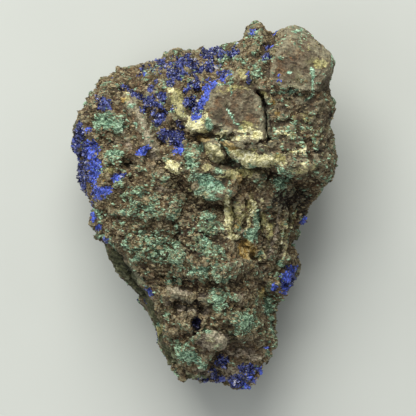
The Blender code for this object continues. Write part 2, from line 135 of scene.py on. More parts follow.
def blotches(points, size, seed):
    """Soft blotches from -1 to 1: random values at a lattice's corners, eased between them."""
    scaled = points / size
    cell = np.floor(scaled).astype(np.int64)
    share = ease(scaled - cell)
    total = 0.0
    for corner in itertools.product((0, 1), repeat=3):
        weight = np.prod(np.where(corner, share, 1.0 - share), axis=1)
        total = total + weight * hashed(cell + np.array(corner), seed)
    return total * 2.0 - 1.0


sample = np.random.default_rng(1).uniform(0.0, 1.0, (2000, 3))
print("facets run from", chunks(sample, 0.1, 3).min().round(2), "to", chunks(sample, 0.1, 3).max().round(2))

# %% [markdown]
# ## Lines, outlines and bumps
#
# Ledges, grooves and hollows are all heights over the X-Y plane. A ledge rises inside a closed outline, a
# groove sinks beside a line, and a hollow or lump is round. Distances to straight stretches give all
# three.

# %% Distances that shape the ledges
def distance_to_line(places, corners):
    """How far each place is from a line through the corners."""
    nearest = np.full(len(places), np.inf)
    for start, end in zip(corners[:-1], corners[1:]):
        along = end - start
        share = np.clip(((places - start) @ along) / (along @ along), 0.0, 1.0)
        nearest = np.minimum(nearest, np.linalg.norm(places - start - share[:, None] * along, axis=1))
    return nearest


def depth_inside(places, corners):
    """How deep each place lies inside a closed outline, below zero outside it."""
    inside = np.zeros(len(places), bool)
    for (x0, y0), (x1, y1) in zip(corners, np.roll(corners, -1, axis=0)):
        crosses = (y0 > places[:, 1]) != (y1 > places[:, 1])
        if y0 != y1:
            inside ^= crosses & (places[:, 0] < x0 + (places[:, 1] - y0) * (x1 - x0) / (y1 - y0))
    away = distance_to_line(places, np.vstack([corners, corners[:1]]))
    return np.where(inside, away, -away)


def bumps(places, spots):
    """The sum of round bumps in mm, each its height times e to the minus (distance / radius) squared."""
    height = np.zeros(len(places))
    for x, y, radius, rise in spots:
        away = np.linalg.norm(places - MM * np.array([x, y]), axis=1)
        height += rise * MM * np.exp(-((away / (radius * MM)) ** 2))
    return height


BREAK_SOFTNESS = 1.6 * MM


def lower_of(a, b):
    """The lower of two heights, rounded where they meet."""
    share = np.clip(0.5 + 0.5 * (b - a) / BREAK_SOFTNESS, 0.0, 1.0)
    return b + (a - b) * share - BREAK_SOFTNESS * share * (1.0 - share)


def broken(height, places, breaks):
    """A height cut down by sloping broken faces."""
    for x, y, level, downhill, slope in breaks:
        way = np.array([math.cos(math.radians(downhill)), math.sin(math.radians(downhill))])
        height = lower_of(height, level * MM - slope * ((places - MM * np.array([x, y])) @ way))
    return height


unit_square = np.array([(0, 0), (1, 0), (1, 1), (0, 1)], float)
print("the middle of a unit square lies", depth_inside(np.array([[0.5, 0.5]]), unit_square)[0], "deep")

# %% [markdown]
# ## The stone's large forms
#
# These are the solid model's own values, so the finer surface made here lies on it all over: the outline
# seen from above, the broken faces that slope away, and the flat-faced block at the head's right.

# %% The outline and the broken faces
WIDTH, LENGTH = 74.8 * MM, 103.0 * MM
FACE_RISE, BACK_DROP, REST_DEPTH = 21.0 * MM, 22.0 * MM, 20.5 * MM
SWELL_ROOM, LEAST_RISE = 2.2 * MM, 4.5 * MM
OUTLINE = MM * np.array([
    (30.4, 0.6), (32.1, 3.4), (34.0, 6.4), (36.0, 8.1), (37.1, 10.1), (37.4, 12.3), (36.3, 16.2),
    (36.5, 18.8), (35.7, 22.4), (36.8, 25.5), (36.0, 30.2), (35.4, 33.0), (37.1, 37.0), (37.4, 38.9),
    (36.0, 41.7), (31.5, 45.9), (28.7, 47.6), (25.9, 48.7), (22.8, 47.9), (21.7, 47.0), (19.5, 47.6),
    (17.5, 49.8), (16.1, 51.5), (13.9, 49.8), (13.0, 48.4), (11.8, 45.0), (9.4, 44.0), (6.6, 45.1),
    (3.8, 43.7), (1.8, 44.2), (0.1, 45.1), (-2.9, 43.7), (-6.6, 43.1), (-10.2, 42.3), (-12.2, 40.3),
    (-15.5, 38.9), (-20.3, 37.5), (-23.9, 37.0), (-27.3, 34.4), (-29.8, 31.4), (-32.9, 27.7), (-34.9, 25.5),
    (-36.5, 20.4), (-37.4, 16.5), (-35.4, 14.3), (-34.6, 10.6), (-35.1, 8.1), (-34.6, 5.0), (-32.6, 2.2),
    (-31.8, -1.7), (-28.7, -8.1), (-26.7, -11.5), (-26.2, -14.6), (-24.5, -18.2), (-21.4, -21.0),
    (-19.7, -23.2), (-16.1, -28.6), (-14.7, -31.9), (-12.7, -34.7), (-12.2, -39.5), (-11.3, -42.0),
    (-8.5, -44.2), (-6.0, -46.8), (-2.4, -48.4), (5.2, -49.6), (7.4, -51.0), (10.2, -51.5), (13.0, -50.4),
    (15.5, -48.2), (16.4, -45.4), (16.9, -42.8), (19.7, -40.9), (21.1, -38.4), (22.0, -29.7), (21.7, -27.7),
    (25.3, -24.1), (27.0, -20.7), (27.6, -15.7), (26.5, -12.3), (27.9, -6.4), (30.4, -4.5), (30.7, -2.2),
])
FACE_BREAKS = [
    (-19.0, 30.5, 19.5, 106, 1.15), (9.5, -3.5, 21.0, -14, 0.80), (-6.0, -38.0, 17.0, -100, 0.80),
    (-27.0, 8.0, 20.0, 185, 0.55),
]
BACK_BREAKS = [
    (22.0, 12.0, 21.5, 12, 0.85), (-18.0, -12.0, 21.0, 215, 0.75), (2.0, 30.0, 21.0, 82, 0.90),
    (6.0, -34.0, 20.5, -70, 0.65),
]
RESTING_SWELLS = [
    (-15.0, 20.0, 9.0, 3.4), (19.0, 22.0, 8.0, 3.4), (7.0, -26.0, 8.5, 4.2), (-9.0, -7.0, 6.0, 2.2),
]
BLOCK_TOP, BLOCK_EDGE = 24.6 * MM, 2.2 * MM
BLOCK_CENTRE, BLOCK_TILT = MM * np.array([20.0, 25.0]), np.array([-0.035, 0.045])
BLOCK_OUTLINE = MM * np.array([
    (2.7, 33.0), (6.9, 35.3), (11.6, 37.0), (16.4, 39.2), (20.0, 43.7), (22.5, 47.6), (27.0, 54.0),
    (43.0, 52.0), (43.0, 7.0), (34.3, 6.4), (30.0, 8.6), (26.0, 7.0), (22.8, 7.8), (19.2, 10.6),
    (13.0, 10.1), (8.0, 12.0), (2.9, 14.0), (-0.1, 16.8), (-2.7, 19.6), (-3.8, 23.0), (-0.1, 27.4),
])
print("the outline has", len(OUTLINE), "corners")

# %% [markdown]
# ## Ledges, grooves and lumps
#
# These lists repeat the solid model's. A ledge is its rise, the width of its edge and its outline, and a
# narrow edge gives a sharp broken rim. A groove is its depth, its width and its line, and a hollow is its
# middle, its radius and its depth. A value below zero sinks a ledge, and raises a groove to a rib or a
# hollow to a lump.

# %% Forms that the solid model has too
LEDGES = [
    (1.6, 1.0, [(2.7, 32.5), (11.6, 35.8), (16.4, 36.7), (16.4, 23.5), (10.2, 22.4), (4.1, 23.5),
                (1.0, 26.3)]),
    (1.4, 0.9, [(16.4, 38.6), (22.5, 47.6), (27.0, 54.0), (43.0, 52.0), (43.0, 29.7), (29.8, 30.0),
                (22.8, 28.8), (18.6, 30.2), (16.4, 31.9)]),
    (-1.8, 1.4, [(-2.7, 21.0), (4.5, 19.0), (11.5, 16.4), (18.6, 18.0), (19.2, 9.0), (8.0, 10.0),
                 (-1.0, 14.0)]),
    (2.4, 1.3, [(-5.7, 9.5), (-1.0, 10.6), (5.2, 9.2), (11.2, 7.6), (8.4, 2.2), (1.8, 1.2), (-1.5, 3.9),
                (-4.9, 7.3)]),
    (1.8, 1.6, [(-29.0, 13.0), (-22.0, 15.5), (-15.0, 12.0), (-8.0, 6.0), (-7.0, -3.0), (-14.0, -6.5),
                (-24.0, -2.0), (-31.0, 3.0)]),
    (-2.8, 1.7, [(-20.0, -15.5), (-14.6, -16.8), (-9.9, -18.4), (-3.8, -21.6), (3.0, -21.2), (9.6, -18.0),
                 (16.4, -15.5), (30.0, -14.0), (30.0, -55.0), (-25.0, -55.0)]),
    (6.0, 1.3, [(-7.7, -38.9), (-4.3, -37.0), (-1.0, -34.7), (2.4, -33.9), (6.3, -35.6), (6.6, -38.4),
                (3.5, -40.9), (1.5, -44.5), (-0.1, -45.6), (-3.2, -43.4), (-6.0, -41.4)]),
    (-3.0, 2.6, [(2.9, -40.9), (8.0, -38.9), (16.4, -38.4), (20.0, -41.0), (16.4, -54.0), (0.4, -53.0),
                 (1.3, -45.4)]),
    (-8.5, 2.2, [(-30.5, -8.0), (-24.5, -9.8), (-20.4, -15.7), (-16.8, -22.1), (-14.8, -26.3),
                 (-12.6, -31.9), (-9.4, -38.4), (-7.2, -43.7), (-5.4, -50.0), (-15.0, -55.0),
                 (-34.0, -26.3)]),
]
GROOVES = [
    (3.6, 2.0, [(-9.9, -18.6), (-6.8, -20.3), (-3.5, -21.9), (0.2, -22.4), (3.0, -21.8)]),
    (3.4, 2.0, [(-6.6, 4.5), (-2.4, 1.6), (1.8, -0.5), (5.5, -0.8)]),
    (2.2, 1.6, [(8.2, 11.0), (12.0, 9.4), (16.5, 9.6), (18.0, 6.5)]),
    (2.0, 2.2, [(-23.0, 30.5), (-17.0, 27.5), (-12.5, 27.0), (-8.5, 20.0), (-6.2, 14.5)]),
    (1.8, 1.8, [(-3.4, 24.5), (0.0, 29.5), (3.4, 34.5), (9.0, 38.5)]),
    (2.4, 2.4, [(11.5, -10.5), (15.5, -17.5), (18.0, -26.0)]),
    (3.4, 0.55, [(15.2, 30.4), (16.9, 28.8), (17.8, 26.3), (18.1, 23.0), (18.1, 20.2), (18.6, 17.4)]),
]
HOLLOWS = [
    (26.0, 3.0, 5.0, 4.5), (-26.4, 17.2, 3.0, 3.2), (-20.3, 11.4, 2.2, 2.8), (-13.7, 13.8, 1.9, 2.4),
    (-5.9, -27.0, 2.6, 3.6), (-1.5, -26.6, 2.2, 2.6), (1.4, -28.0, 2.4, 3.2), (-5.0, -2.0, 2.4, 2.2),
    (-7.5, 19.0, 2.0, 1.6), (13.0, 5.2, 2.6, 2.0), (12.3, -38.0, 2.4, 1.6), (-0.4, 41.5, 2.6, -3.6),
    (6.2, 42.2, 2.2, -3.2), (15.4, 46.5, 3.0, -6.0), (13.8, 41.5, 2.6, -3.0), (24.8, -20.4, 3.4, -5.5),
    (25.5, -14.0, 2.4, -3.0), (-10.5, 39.0, 3.0, -2.0), (-30.5, 22.5, 2.6, -1.6), (10.5, -47.5, 3.4, -2.4),
    (5.8, -8.6, 3.2, -1.8), (-15.0, -11.0, 3.6, -1.4), (12.0, -12.3, 3.0, -2.2), (3.5, -27.0, 2.2, -1.4),
    (-9.0, -29.0, 1.8, -1.0), (10.0, -31.0, 3.6, -1.6),
]
print(len(LEDGES), "ledges,", len(GROOVES), "grooves and", len(HOLLOWS), "hollows and lumps")

# %% [markdown]
# ## Finer forms
#
# The next ledges, grooves and bumps are too small for the solid model's faces: the cream plates below the
# block, the brown lumps over the little vug, the ribs down the right flank, the cracks and the small
# pits. Their places are pixels of the photograph and their sizes are in mm.

# %% Finer ledges, grooves and bumps
FINE_LEDGES = [
    (0.6, 0.4, [(206, 95), (214, 86), (240, 84), (262, 82), (269, 100), (271, 141), (258, 146), (243, 143),
                (228, 136), (211, 127), (204, 116)]),
    (1.6, 1.0, [(207.1, 112.1), (218.1, 122.1), (239.9, 126), (262.1, 122.1), (262.1, 141), (256, 146),
                (243, 143), (228, 136), (211, 127), (204, 118)]),
    (1.6, 1.0, [(262.1, 75), (265, 96), (269, 108), (270, 124), (271, 141), (262.1, 141)]),
    (0.9, 0.4, [(272, 60), (285, 38), (305, 33), (322, 46), (333, 60), (331, 80), (316, 96), (290, 94),
                (272, 90)]),
    (3.5, 1.3, [(203, 143), (212, 140), (222, 146), (229, 158), (220, 166), (208, 160)]),
    (3.9, 1.3, [(222, 146), (232, 143), (246, 146), (264, 150), (274, 160), (266, 170), (250, 171),
                (234, 162)]),
    (1.7, 1.8, [(180, 120), (194, 116), (208, 120), (232, 132), (228, 140), (206, 137), (190, 136)]),
    (2.0, 1.2, [(214, 136), (230, 139), (262, 144), (272, 148), (270, 156), (246, 152), (224, 147)]),
    (0.7, 0.4, [(163, 163), (172, 157), (181, 160), (186, 172), (177, 175)]),
    (1.3, 0.4, [(184, 176), (200, 166), (228, 172), (238, 190), (232, 204), (214, 200), (198, 191)]),
    (1.1, 0.6, [(93, 113), (108, 112), (128, 126), (127, 138), (110, 137), (96, 130)]),
    (1.0, 0.4, [(186, 154), (194, 154), (197, 164), (189, 170), (185, 163)]),
    (1.4, 0.5, [(160, 290), (176, 286), (197, 291), (213, 297), (211, 304), (190, 299), (170, 298)]),
    (1.2, 0.4, [(272, 164), (290, 160), (306, 162), (300, 172), (284, 182), (273, 174)]),
    (1.2, 0.5, [(226, 262), (244, 256), (262, 268), (264, 290), (250, 302), (232, 296), (224, 280)]),
    (2.0, 0.4, [(197, 333), (214, 329), (227, 337), (222, 350), (208, 364), (196, 368), (182, 356),
                (186, 344)]),
    (0.6, 0.4, [(130, 196), (150, 190), (172, 200), (176, 214), (156, 222), (134, 214)]),
    (0.6, 0.4, [(118, 232), (142, 226), (166, 234), (160, 250), (136, 256), (122, 246)]),
    (0.5, 0.4, [(182, 218), (204, 212), (218, 222), (214, 244), (196, 250), (182, 238)]),
    (0.6, 0.4, [(160, 250), (186, 246), (214, 256), (222, 268), (196, 268), (170, 262)]),
    (1.0, 0.4, [(230, 308), (252, 306), (262, 320), (252, 336), (236, 332)]),
    (-3.6, 1.2, [(104, 234), (123, 250), (136, 266), (150, 288), (157, 302), (161, 322), (150, 338),
                 (128, 302), (108, 278), (90, 240)]),
]
FINE_GROOVES = [
    (-3.0, 1.7, [(171, 91), (176, 103), (181, 118)]),
    (-2.4, 2.0, [(127, 98), (134, 108), (143, 122), (150, 144), (158, 160)]),
    (-1.6, 1.0, [(118, 132), (128, 146), (136, 160)]),
    (1.2, 0.7, [(118, 100), (126, 116), (134, 132), (142, 152)]),
    (1.8, 0.9, [(186, 90), (192, 104), (193, 118)]), (2.2, 0.9, [(161, 90), (166, 104), (172, 120)]),
    (1.8, 0.8, [(138, 96), (145, 108), (152, 124), (160, 146)]),
    (-1.0, 0.55, [(227, 193), (229, 208), (228, 222), (232, 237)]),
    (-1.1, 0.5, [(248, 197), (255, 206), (258, 226)]), (-1.2, 0.6, [(262, 206), (267, 222), (270, 240)]),
    (-0.6, 0.5, [(230, 238), (245, 238)]), (-1.3, 0.45, [(296, 206), (290, 232), (281, 262)]),
    (-1.1, 0.45, [(286, 210), (282, 236), (273, 262)]), (-1.1, 0.45, [(305, 196), (299, 220), (292, 240)]),
    (1.1, 0.5, [(291, 208), (286, 234), (277, 262)]),
    (1.4, 0.6, [(276, 100), (290, 98), (302, 101), (311, 99)]),
    (0.6, 0.3, [(276, 112), (300, 116), (326, 112)]), (0.6, 0.3, [(274, 128), (300, 126), (328, 132)]),
    (0.6, 0.3, [(272, 140), (298, 146), (326, 142)]), (0.6, 0.3, [(274, 154), (300, 158), (326, 154)]),
    (1.8, 0.8, [(272, 176), (286, 183), (301, 179), (318, 172)]),
    (2.6, 0.8, [(197, 138), (203, 138), (211, 141)]), (1.9, 0.7, [(218, 141), (226, 142), (234, 145)]),
    (-2.4, 2.0, [(230, 170), (246, 175), (262, 176), (268, 184)]),
    (-2.2, 1.7, [(199, 160), (208, 168), (222, 173), (238, 173)]),
    (1.9, 0.7, [(221, 149), (228, 157), (236, 167)]), (1.3, 0.8, [(196, 196), (212, 204), (228, 208)]),
    (1.7, 0.8, [(172, 299), (186, 302), (200, 305), (212, 308)]),
    (2.2, 0.7, [(160, 270), (178, 275), (200, 282), (216, 281)]),
    (2.6, 0.6, [(260, 98), (264, 103), (266, 112), (267, 122), (268, 134)]),
    (1.8, 0.5, [(176, 299), (177, 311)]), (1.8, 0.5, [(188, 301), (189, 313)]),
    (1.8, 0.5, [(200, 304), (201, 313)]), (0.9, 0.7, [(262, 215), (266, 240), (262, 262)]),
    (0.9, 0.7, [(275, 212), (280, 240), (274, 275)]), (1.0, 0.5, [(233, 200), (237, 215), (234, 232)]),
    (1.2, 0.5, [(246, 203), (251, 216), (246, 227)]), (1.2, 0.7, [(146, 108), (150, 120), (148, 134)]),
    (1.3, 0.6, [(156, 140), (168, 148), (180, 150)]),
    (1.5, 0.8, [(118, 242), (134, 276), (152, 308), (166, 336)]),
    (1.4, 0.7, [(140, 262), (150, 272), (162, 282)]), (1.0, 0.5, [(104, 168), (120, 172), (136, 168)]),
    (1.0, 0.6, [(176, 236), (190, 252), (206, 256)]),
]
FINE_BUMPS = [
    (313, 151, 0.8, -1.5), (322, 154, 0.8, -1.5), (330, 116, 1.3, -1.8), (132, 165, 1.5, -1.7),
    (112, 146, 2.2, -1.6), (208, 137, 1.5, -1.8), (241, 176, 1.3, -1.2), (258, 256, 0.8, -1.0),
    (178, 297, 0.9, -1.6), (190, 300, 0.9, -1.8), (202, 303, 0.9, -1.6), (168, 295, 0.8, -1.2),
    (212, 303, 0.9, -1.2), (181, 306, 1.3, 1.7), (193, 309, 1.2, 1.5), (205, 311, 1.2, 1.4),
    (168, 301, 1.6, 1.1), (187, 316, 1.0, 1.0), (240, 318, 1.3, 1.0), (247, 323, 1.3, 1.1),
    (243, 330, 1.2, 0.9), (250, 331, 1.1, 0.8), (250, 233, 1.8, 1.5), (245, 250, 1.7, 1.3),
    (284, 178, 1.6, 0.9), (261, 253, 1.2, 0.7), (113, 178, 2.4, 1.0), (140, 208, 1.6, 0.8),
    (150, 97, 1.6, 0.9), (137, 97, 1.8, 1.0), (105, 106, 2.0, 1.0),
]
print(len(FINE_LEDGES), "finer ledges,", len(FINE_GROOVES), "grooves and", len(FINE_BUMPS), "bumps")

# %% [markdown]
# ## Heights of the face and the back
#
# The face starts as a level plane. Broken faces cut it down, the block replaces it where it stands, and
# then every ledge, groove, hollow and bump adds its own height. The back is plainer: its breaks, and the
# swells it rests on.

# %% Two heights over the X-Y plane
def pixel_spots(spots):
    """Round spots given in the photograph's pixels, with X and Y in mm instead."""
    return [(*(on_stone((x, y)) / MM), *rest) for x, y, *rest in spots]


def face_height(places):
    """The face above the widest line: a level cut by breaks, with the block, ledges, grooves and hollows."""
    height = broken(np.full(len(places), FACE_RISE), places, FACE_BREAKS)
    block = BLOCK_TOP + (places - BLOCK_CENTRE) @ BLOCK_TILT
    height += (block - height) * ease(0.5 + depth_inside(places, BLOCK_OUTLINE) / BLOCK_EDGE)
    ledges = [(rise, edge, MM * np.array(corners)) for rise, edge, corners in LEDGES]
    ledges += [(rise, edge, on_stone(corners)) for rise, edge, corners in FINE_LEDGES]
    for rise, edge, corners in ledges:
        height += rise * MM * ease(0.5 + depth_inside(places, corners) / (edge * MM))
    grooves = [(depth, width, MM * np.array(line)) for depth, width, line in GROOVES]
    grooves += [(depth, width, on_stone(line)) for depth, width, line in FINE_GROOVES]
    for depth, width, line in grooves:
        height -= depth * MM * np.exp(-((distance_to_line(places, line) / (width * MM)) ** 2))
    height += bumps(places, pixel_spots(FINE_BUMPS)) - bumps(places, HOLLOWS)
    return -lower_of(-height, -LEAST_RISE)


def back_depth(places):
    """The back below the widest line: a level cut by breaks, with the swells that it rests on."""
    height = np.full(len(places), BACK_DROP - SWELL_ROOM)
    return broken(height, places, BACK_BREAKS) + bumps(places, RESTING_SWELLS)


middle_height = face_height(np.zeros((1, 2)))[0] / MM
print("the face stands", round(middle_height, 1), "mm above the widest line at its middle")

# %% [markdown]
# ## How rough each place is
#
# The block's broken faces are smooth, and so is the flange at the lower left. The middle is a mass of
# crumbs. The calm places are closed outlines with a soft edge, and everything else is rough. Calm places
# are flatter too.

# %% Calm and crumbly places
CALM_OUTLINES = [
    (0.95, [(205, 94), (214, 86), (240, 84), (262, 88), (266, 104), (268, 141), (246, 141), (226, 133),
            (209, 122)]),
    (0.75, [(182, 118), (196, 114), (214, 124), (243, 140), (272, 144), (276, 168), (246, 178), (214, 168),
            (196, 140)]),
    (0.95, [(278, 20), (310, 18), (336, 34), (350, 60), (346, 90), (318, 94), (294, 92), (274, 88),
            (264, 76), (272, 60), (282, 38)]),
    (0.6, [(271, 98), (318, 98), (332, 110), (330, 165), (300, 164), (270, 160)]),
    (0.45, [(224, 190), (250, 184), (276, 196), (300, 202), (294, 235), (280, 270), (266, 300), (254, 290),
            (262, 250), (240, 240), (226, 240)]),
    (0.8, [(104, 238), (122, 250), (136, 268), (150, 290), (160, 320), (172, 352), (150, 380), (90, 300),
           (90, 240)]),
    (0.6, [(226, 338), (262, 334), (268, 360), (240, 362), (224, 352)]),
    (0.7, [(192, 184), (206, 172), (230, 176), (228, 190), (212, 202)]),
    (0.45, [(184, 352), (198, 333), (214, 329), (229, 335), (226, 348), (208, 366), (196, 368)]),
    (0.5, [(66, 100), (88, 100), (92, 210), (70, 210)]),
    (0.85, [(166, 88), (178, 86), (191, 118), (182, 125), (170, 108)]),
    (0.8, [(124, 92), (134, 98), (148, 116), (156, 140), (164, 160), (150, 160), (138, 134), (122, 106)]),
    (0.6, [(110, 128), (122, 130), (142, 156), (132, 164), (118, 146)]),
]
CALM_SOFTNESS = 2.0 * MM


def calmness(places):
    """The highest of each calm outline's value, fading over its soft edge."""
    calm = np.zeros(len(places))
    for value, corners in CALM_OUTLINES:
        calm = np.maximum(calm, value * ease(0.5 + depth_inside(places, on_stone(corners)) / CALM_SOFTNESS))
    return calm


print(len(CALM_OUTLINES), "calm outlines")

# %% [markdown]
# ## Carrying a cube to the stone
#
# A sphere's grid bunches at its poles, and a stone has no poles. So the grid starts on a cube: its top
# becomes the face, its bottom the back and its sides the edge. A place on the top is a direction and a
# share of the outline's radius, and the profile from face to edge is a superellipse. Below the widest
# line the walls follow an evened outline, or else its corners would run down them as flutes.

# %% The stone as a function of a cube's surface
FACE_ROUNDNESS, BROW_ROUNDNESS, BACK_ROUNDNESS = 2.8, 6.5, 3.0
BROW_DIRECTION, BROW_SPREAD = math.radians(38), 0.62
CHUNKS = [(17.0, 2.4, 11), (8.5, 1.7, 23), (4.6, 0.9, 37)]
EDGE_CHUNKS, CALM_FLATNESS = 0.45, 0.75
RIM_WAVES = [(3.6, 2, 40.0), (2.6, 3, -60.0), (1.4, 5, 110.0)]
RIM_CHUNKS = [(13.0, 3.4, 51), (6.0, 1.6, 67)]
WALL_SPREAD = np.radians([-4.5, -3.0, -1.5, 0.0, 1.5, 3.0, 4.5])
WALL_EVENING = 2.4


def outline_radius(angle):
    """The distance from the middle to the outline in each direction: where a ray crosses its side."""
    corner_angles = np.unwrap(np.arctan2(OUTLINE[:, 1], OUTLINE[:, 0]))
    first, turn = corner_angles[0], 2.0 * math.pi
    place = (angle - first) % turn + first
    ring = np.vstack([OUTLINE, OUTLINE[:1]])
    side = np.searchsorted(np.append(corner_angles, first + turn), place, side="right") - 1
    side = np.clip(side, 0, len(OUTLINE) - 1)
    start, along = ring[side], ring[side + 1] - ring[side]
    across = np.cos(place) * along[:, 1] - np.sin(place) * along[:, 0]
    return (start[:, 0] * along[:, 1] - start[:, 1] * along[:, 0]) / across


def wall_radius(angle, up):
    """The outline's distance, at the widest line and above it. Below, the mean over 9 degrees takes over."""
    exact = outline_radius(angle)
    even = sum(outline_radius(angle + turn) for turn in WALL_SPREAD) / len(WALL_SPREAD)
    return exact + (even - exact) * ease(-WALL_EVENING * up)


def stone_points(cube):
    """Points of a cube's surface, from -1 to 1, carried to the stone's face, edge and back."""
    across, up = cube[:, :2], cube[:, 2]
    share = np.abs(across).max(axis=1)
    x, y = across[:, 0], across[:, 1]
    wide = np.abs(x) >= np.abs(y)
    ratio = np.where(wide, y / np.where(wide & (x != 0), x, 1.0), x / np.where(wide | (y == 0), 1.0, y))
    angle = np.where(wide, ratio * math.pi / 4 + (x < 0) * math.pi,
                     math.pi / 2 - ratio * math.pi / 4 + (y < 0) * math.pi)
    off_brow = (angle - BROW_DIRECTION + math.pi) % (2.0 * math.pi) - math.pi
    brow = np.exp(-((off_brow / BROW_SPREAD) ** 2))
    face = up >= 0.0
    roundness = np.where(face, FACE_ROUNDNESS + (BROW_ROUNDNESS - FACE_ROUNDNESS) * brow, BACK_ROUNDNESS)
    squash = (share**roundness + np.abs(up) ** roundness) ** (-1.0 / roundness)
    share, up = share * squash, up * squash
    way = np.stack([np.cos(angle), np.sin(angle)], axis=1)
    edge = way * wall_radius(angle, up)[:, None]
    places = edge * share[:, None]
    height = up * np.where(face, face_height(places), back_depth(places))
    rim = sum(rise * MM * np.sin(waves * angle + math.radians(start)) for rise, waves, start in RIM_WAVES)
    level_edge = np.column_stack([edge, np.zeros(len(edge))])
    rim += sum(rise * MM * chunks(level_edge, size * MM, seed) for size, rise, seed in RIM_CHUNKS)
    points = np.column_stack([places, height + rim * (1.0 - up**2)])
    outward = np.column_stack([way * (share**2)[:, None], up * np.abs(up)])
    outward /= np.linalg.norm(outward, axis=1)[:, None]
    relief = sum(rise * MM * chunks(points, size * MM, seed) for size, rise, seed in CHUNKS)
    relief *= 1.0 - CALM_FLATNESS * calmness(places)
    return points + outward * (relief * (EDGE_CHUNKS + (1.0 - EDGE_CHUNKS) * np.abs(up)))[:, None]


def set_on_table(points):
    """Fits the stone to its width and length, and flattens its back's high spots on the table at Z = 0."""
    low, high = points.min(axis=0), points.max(axis=0)
    middle, span = (low + high) / 2.0, high - low
    points[:, :2] = (points[:, :2] - middle[:2]) / span[:2] * np.array([WIDTH, LENGTH])
    points[:, 2] = np.maximum(points[:, 2] + REST_DEPTH, 0.0)
    return points


# %% [markdown]
# ## The fine grid
#
# The face needs squares of about 0.4 mm, as small as a pixel of the picture. The back is hardly seen, so
# it has a grid of half as many squares each way. One row of triangles joins the two, and the surface
# stays closed.

# %% A closed cube grid, fine above and coarse below
FACE_SQUARES, BACK_SQUARES = 208, 104
UPPER_ROWS, LOWER_ROWS = 36, 22


def square_grid(squares, level):
    """A square grid of points from -1 to 1 at one level, and its rim's points by number, anticlockwise."""
    steps = np.linspace(-1.0, 1.0, squares + 1)
    x, y = np.meshgrid(steps, steps)
    number = np.arange((squares + 1) ** 2).reshape(squares + 1, squares + 1)
    rim = np.concatenate([number[0, :-1], number[:-1, -1], number[-1, :0:-1], number[:0:-1, 0]])
    return np.column_stack([x.ravel(), y.ravel(), np.full(x.size, level)]), number, rim


def cube_grid():
    """The cube's points, its four-sided faces and its three-sided faces, all closed and facing out."""
    top, top_number, top_rim = square_grid(FACE_SQUARES, 1.0)
    bottom, bottom_number, bottom_rim = square_grid(BACK_SQUARES, -1.0)
    points, rings = [top], [top_rim]
    count = len(top)
    for levels, rim_points in (
        (np.linspace(1.0, 0.0, UPPER_ROWS + 1)[1:], top[top_rim, :2]),
        (np.linspace(0.0, -1.0, LOWER_ROWS + 2)[1:-1], bottom[bottom_rim, :2]),
    ):
        for level in levels:
            points.append(np.column_stack([rim_points, np.full(len(rim_points), level)]))
            rings.append(count + np.arange(len(rim_points)))
            count += len(rim_points)
    points.append(bottom)
    rings.append(count + bottom_rim)
    quads = [np.stack([top_number[:-1, :-1], top_number[:-1, 1:], top_number[1:, 1:], top_number[1:, :-1]],
                      axis=-1).reshape(-1, 4)]
    below = bottom_number + count
    quads.append(np.stack([below[:-1, :-1], below[1:, :-1], below[1:, 1:], below[:-1, 1:]],
                          axis=-1).reshape(-1, 4))
    triangles = []
    for upper, lower in zip(rings[:-1], rings[1:]):
        ahead = np.roll(lower, -1)
        if len(upper) == len(lower):
            quads.append(np.stack([upper, lower, ahead, np.roll(upper, -1)], axis=1))
        else:
            first, middle, last = upper[::2], upper[1::2], np.roll(upper[::2], -1)
            triangles += [np.stack(corners, axis=1) for corners in
                          ((first, lower, middle), (middle, lower, ahead), (middle, ahead, last))]
    return np.vstack(points), np.vstack(quads), np.vstack(triangles)


cube, quads, triangles = cube_grid()
points = set_on_table(stone_points(cube))
print("the stone has", 2 * len(quads) + len(triangles), "triangles and is",
      (np.ptp(points, axis=0) / MM).round(1), "mm")

# %% [markdown]
# ## Spreading the points evenly
#
# A height over a level grid has few points on a cliff, and small relief would look combed there. So the
# points slide along the surface: each moves towards the mean of its neighbours, but only sideways to its
# own normal. The shape stays, and the cliffs get their share of points.

# %% Slide the points along the surface
SLIDES = 90
edges = np.vstack([quads[:, (k, (k + 1) % 4)] for k in range(4)])


def surface_normals(points, quads):
    """Each point's normal: the crossed diagonals of the squares round it, added up and made one long."""
    across = np.cross(points[quads[:, 2]] - points[quads[:, 0]], points[quads[:, 3]] - points[quads[:, 1]])
    normals = np.stack([
        sum(np.bincount(quads[:, corner], across[:, axis], len(points)) for corner in range(4))
        for axis in THREE_AXES], axis=1)
    return normals / np.maximum(np.linalg.norm(normals, axis=1), 1e-12)[:, None]


def evened(values, rounds):
    """Each point takes the mean of itself and its neighbours, round after round."""
    neighbours = np.bincount(edges.ravel(), minlength=len(values))[:, None]
    for _ in range(rounds):
        total = np.stack([np.bincount(edges[:, 0], values[edges[:, 1], k], len(values))
                          + np.bincount(edges[:, 1], values[edges[:, 0], k], len(values))
                          for k in range(values.shape[1])], axis=1)
        values = (values + total) / (neighbours + 1.0)
    return values


for _ in range(SLIDES):
    normals = surface_normals(points, quads)
    way = evened(points, 1) - points
    points += way - (way * normals).sum(axis=1)[:, None] * normals
points[:, 2] = np.maximum(points[:, 2], 0.0)
print("after sliding the stone is", (np.ptp(points, axis=0) / MM).round(1), "mm")

# %% [markdown]
# ## Where each mineral grew
#
# The stone's colours come from where water left copper. Each patch is an ellipse: its centre in pixels,
# half width, half height, turn in degrees, and how fully it is covered. A stroke is a half width, a cover
# and a line. Noise frays every edge later, so no ellipse shows, and a patch of low cover shows only where
# the noise is high.

# %% Patches and strokes of mineral
NO_COVER = -1.0


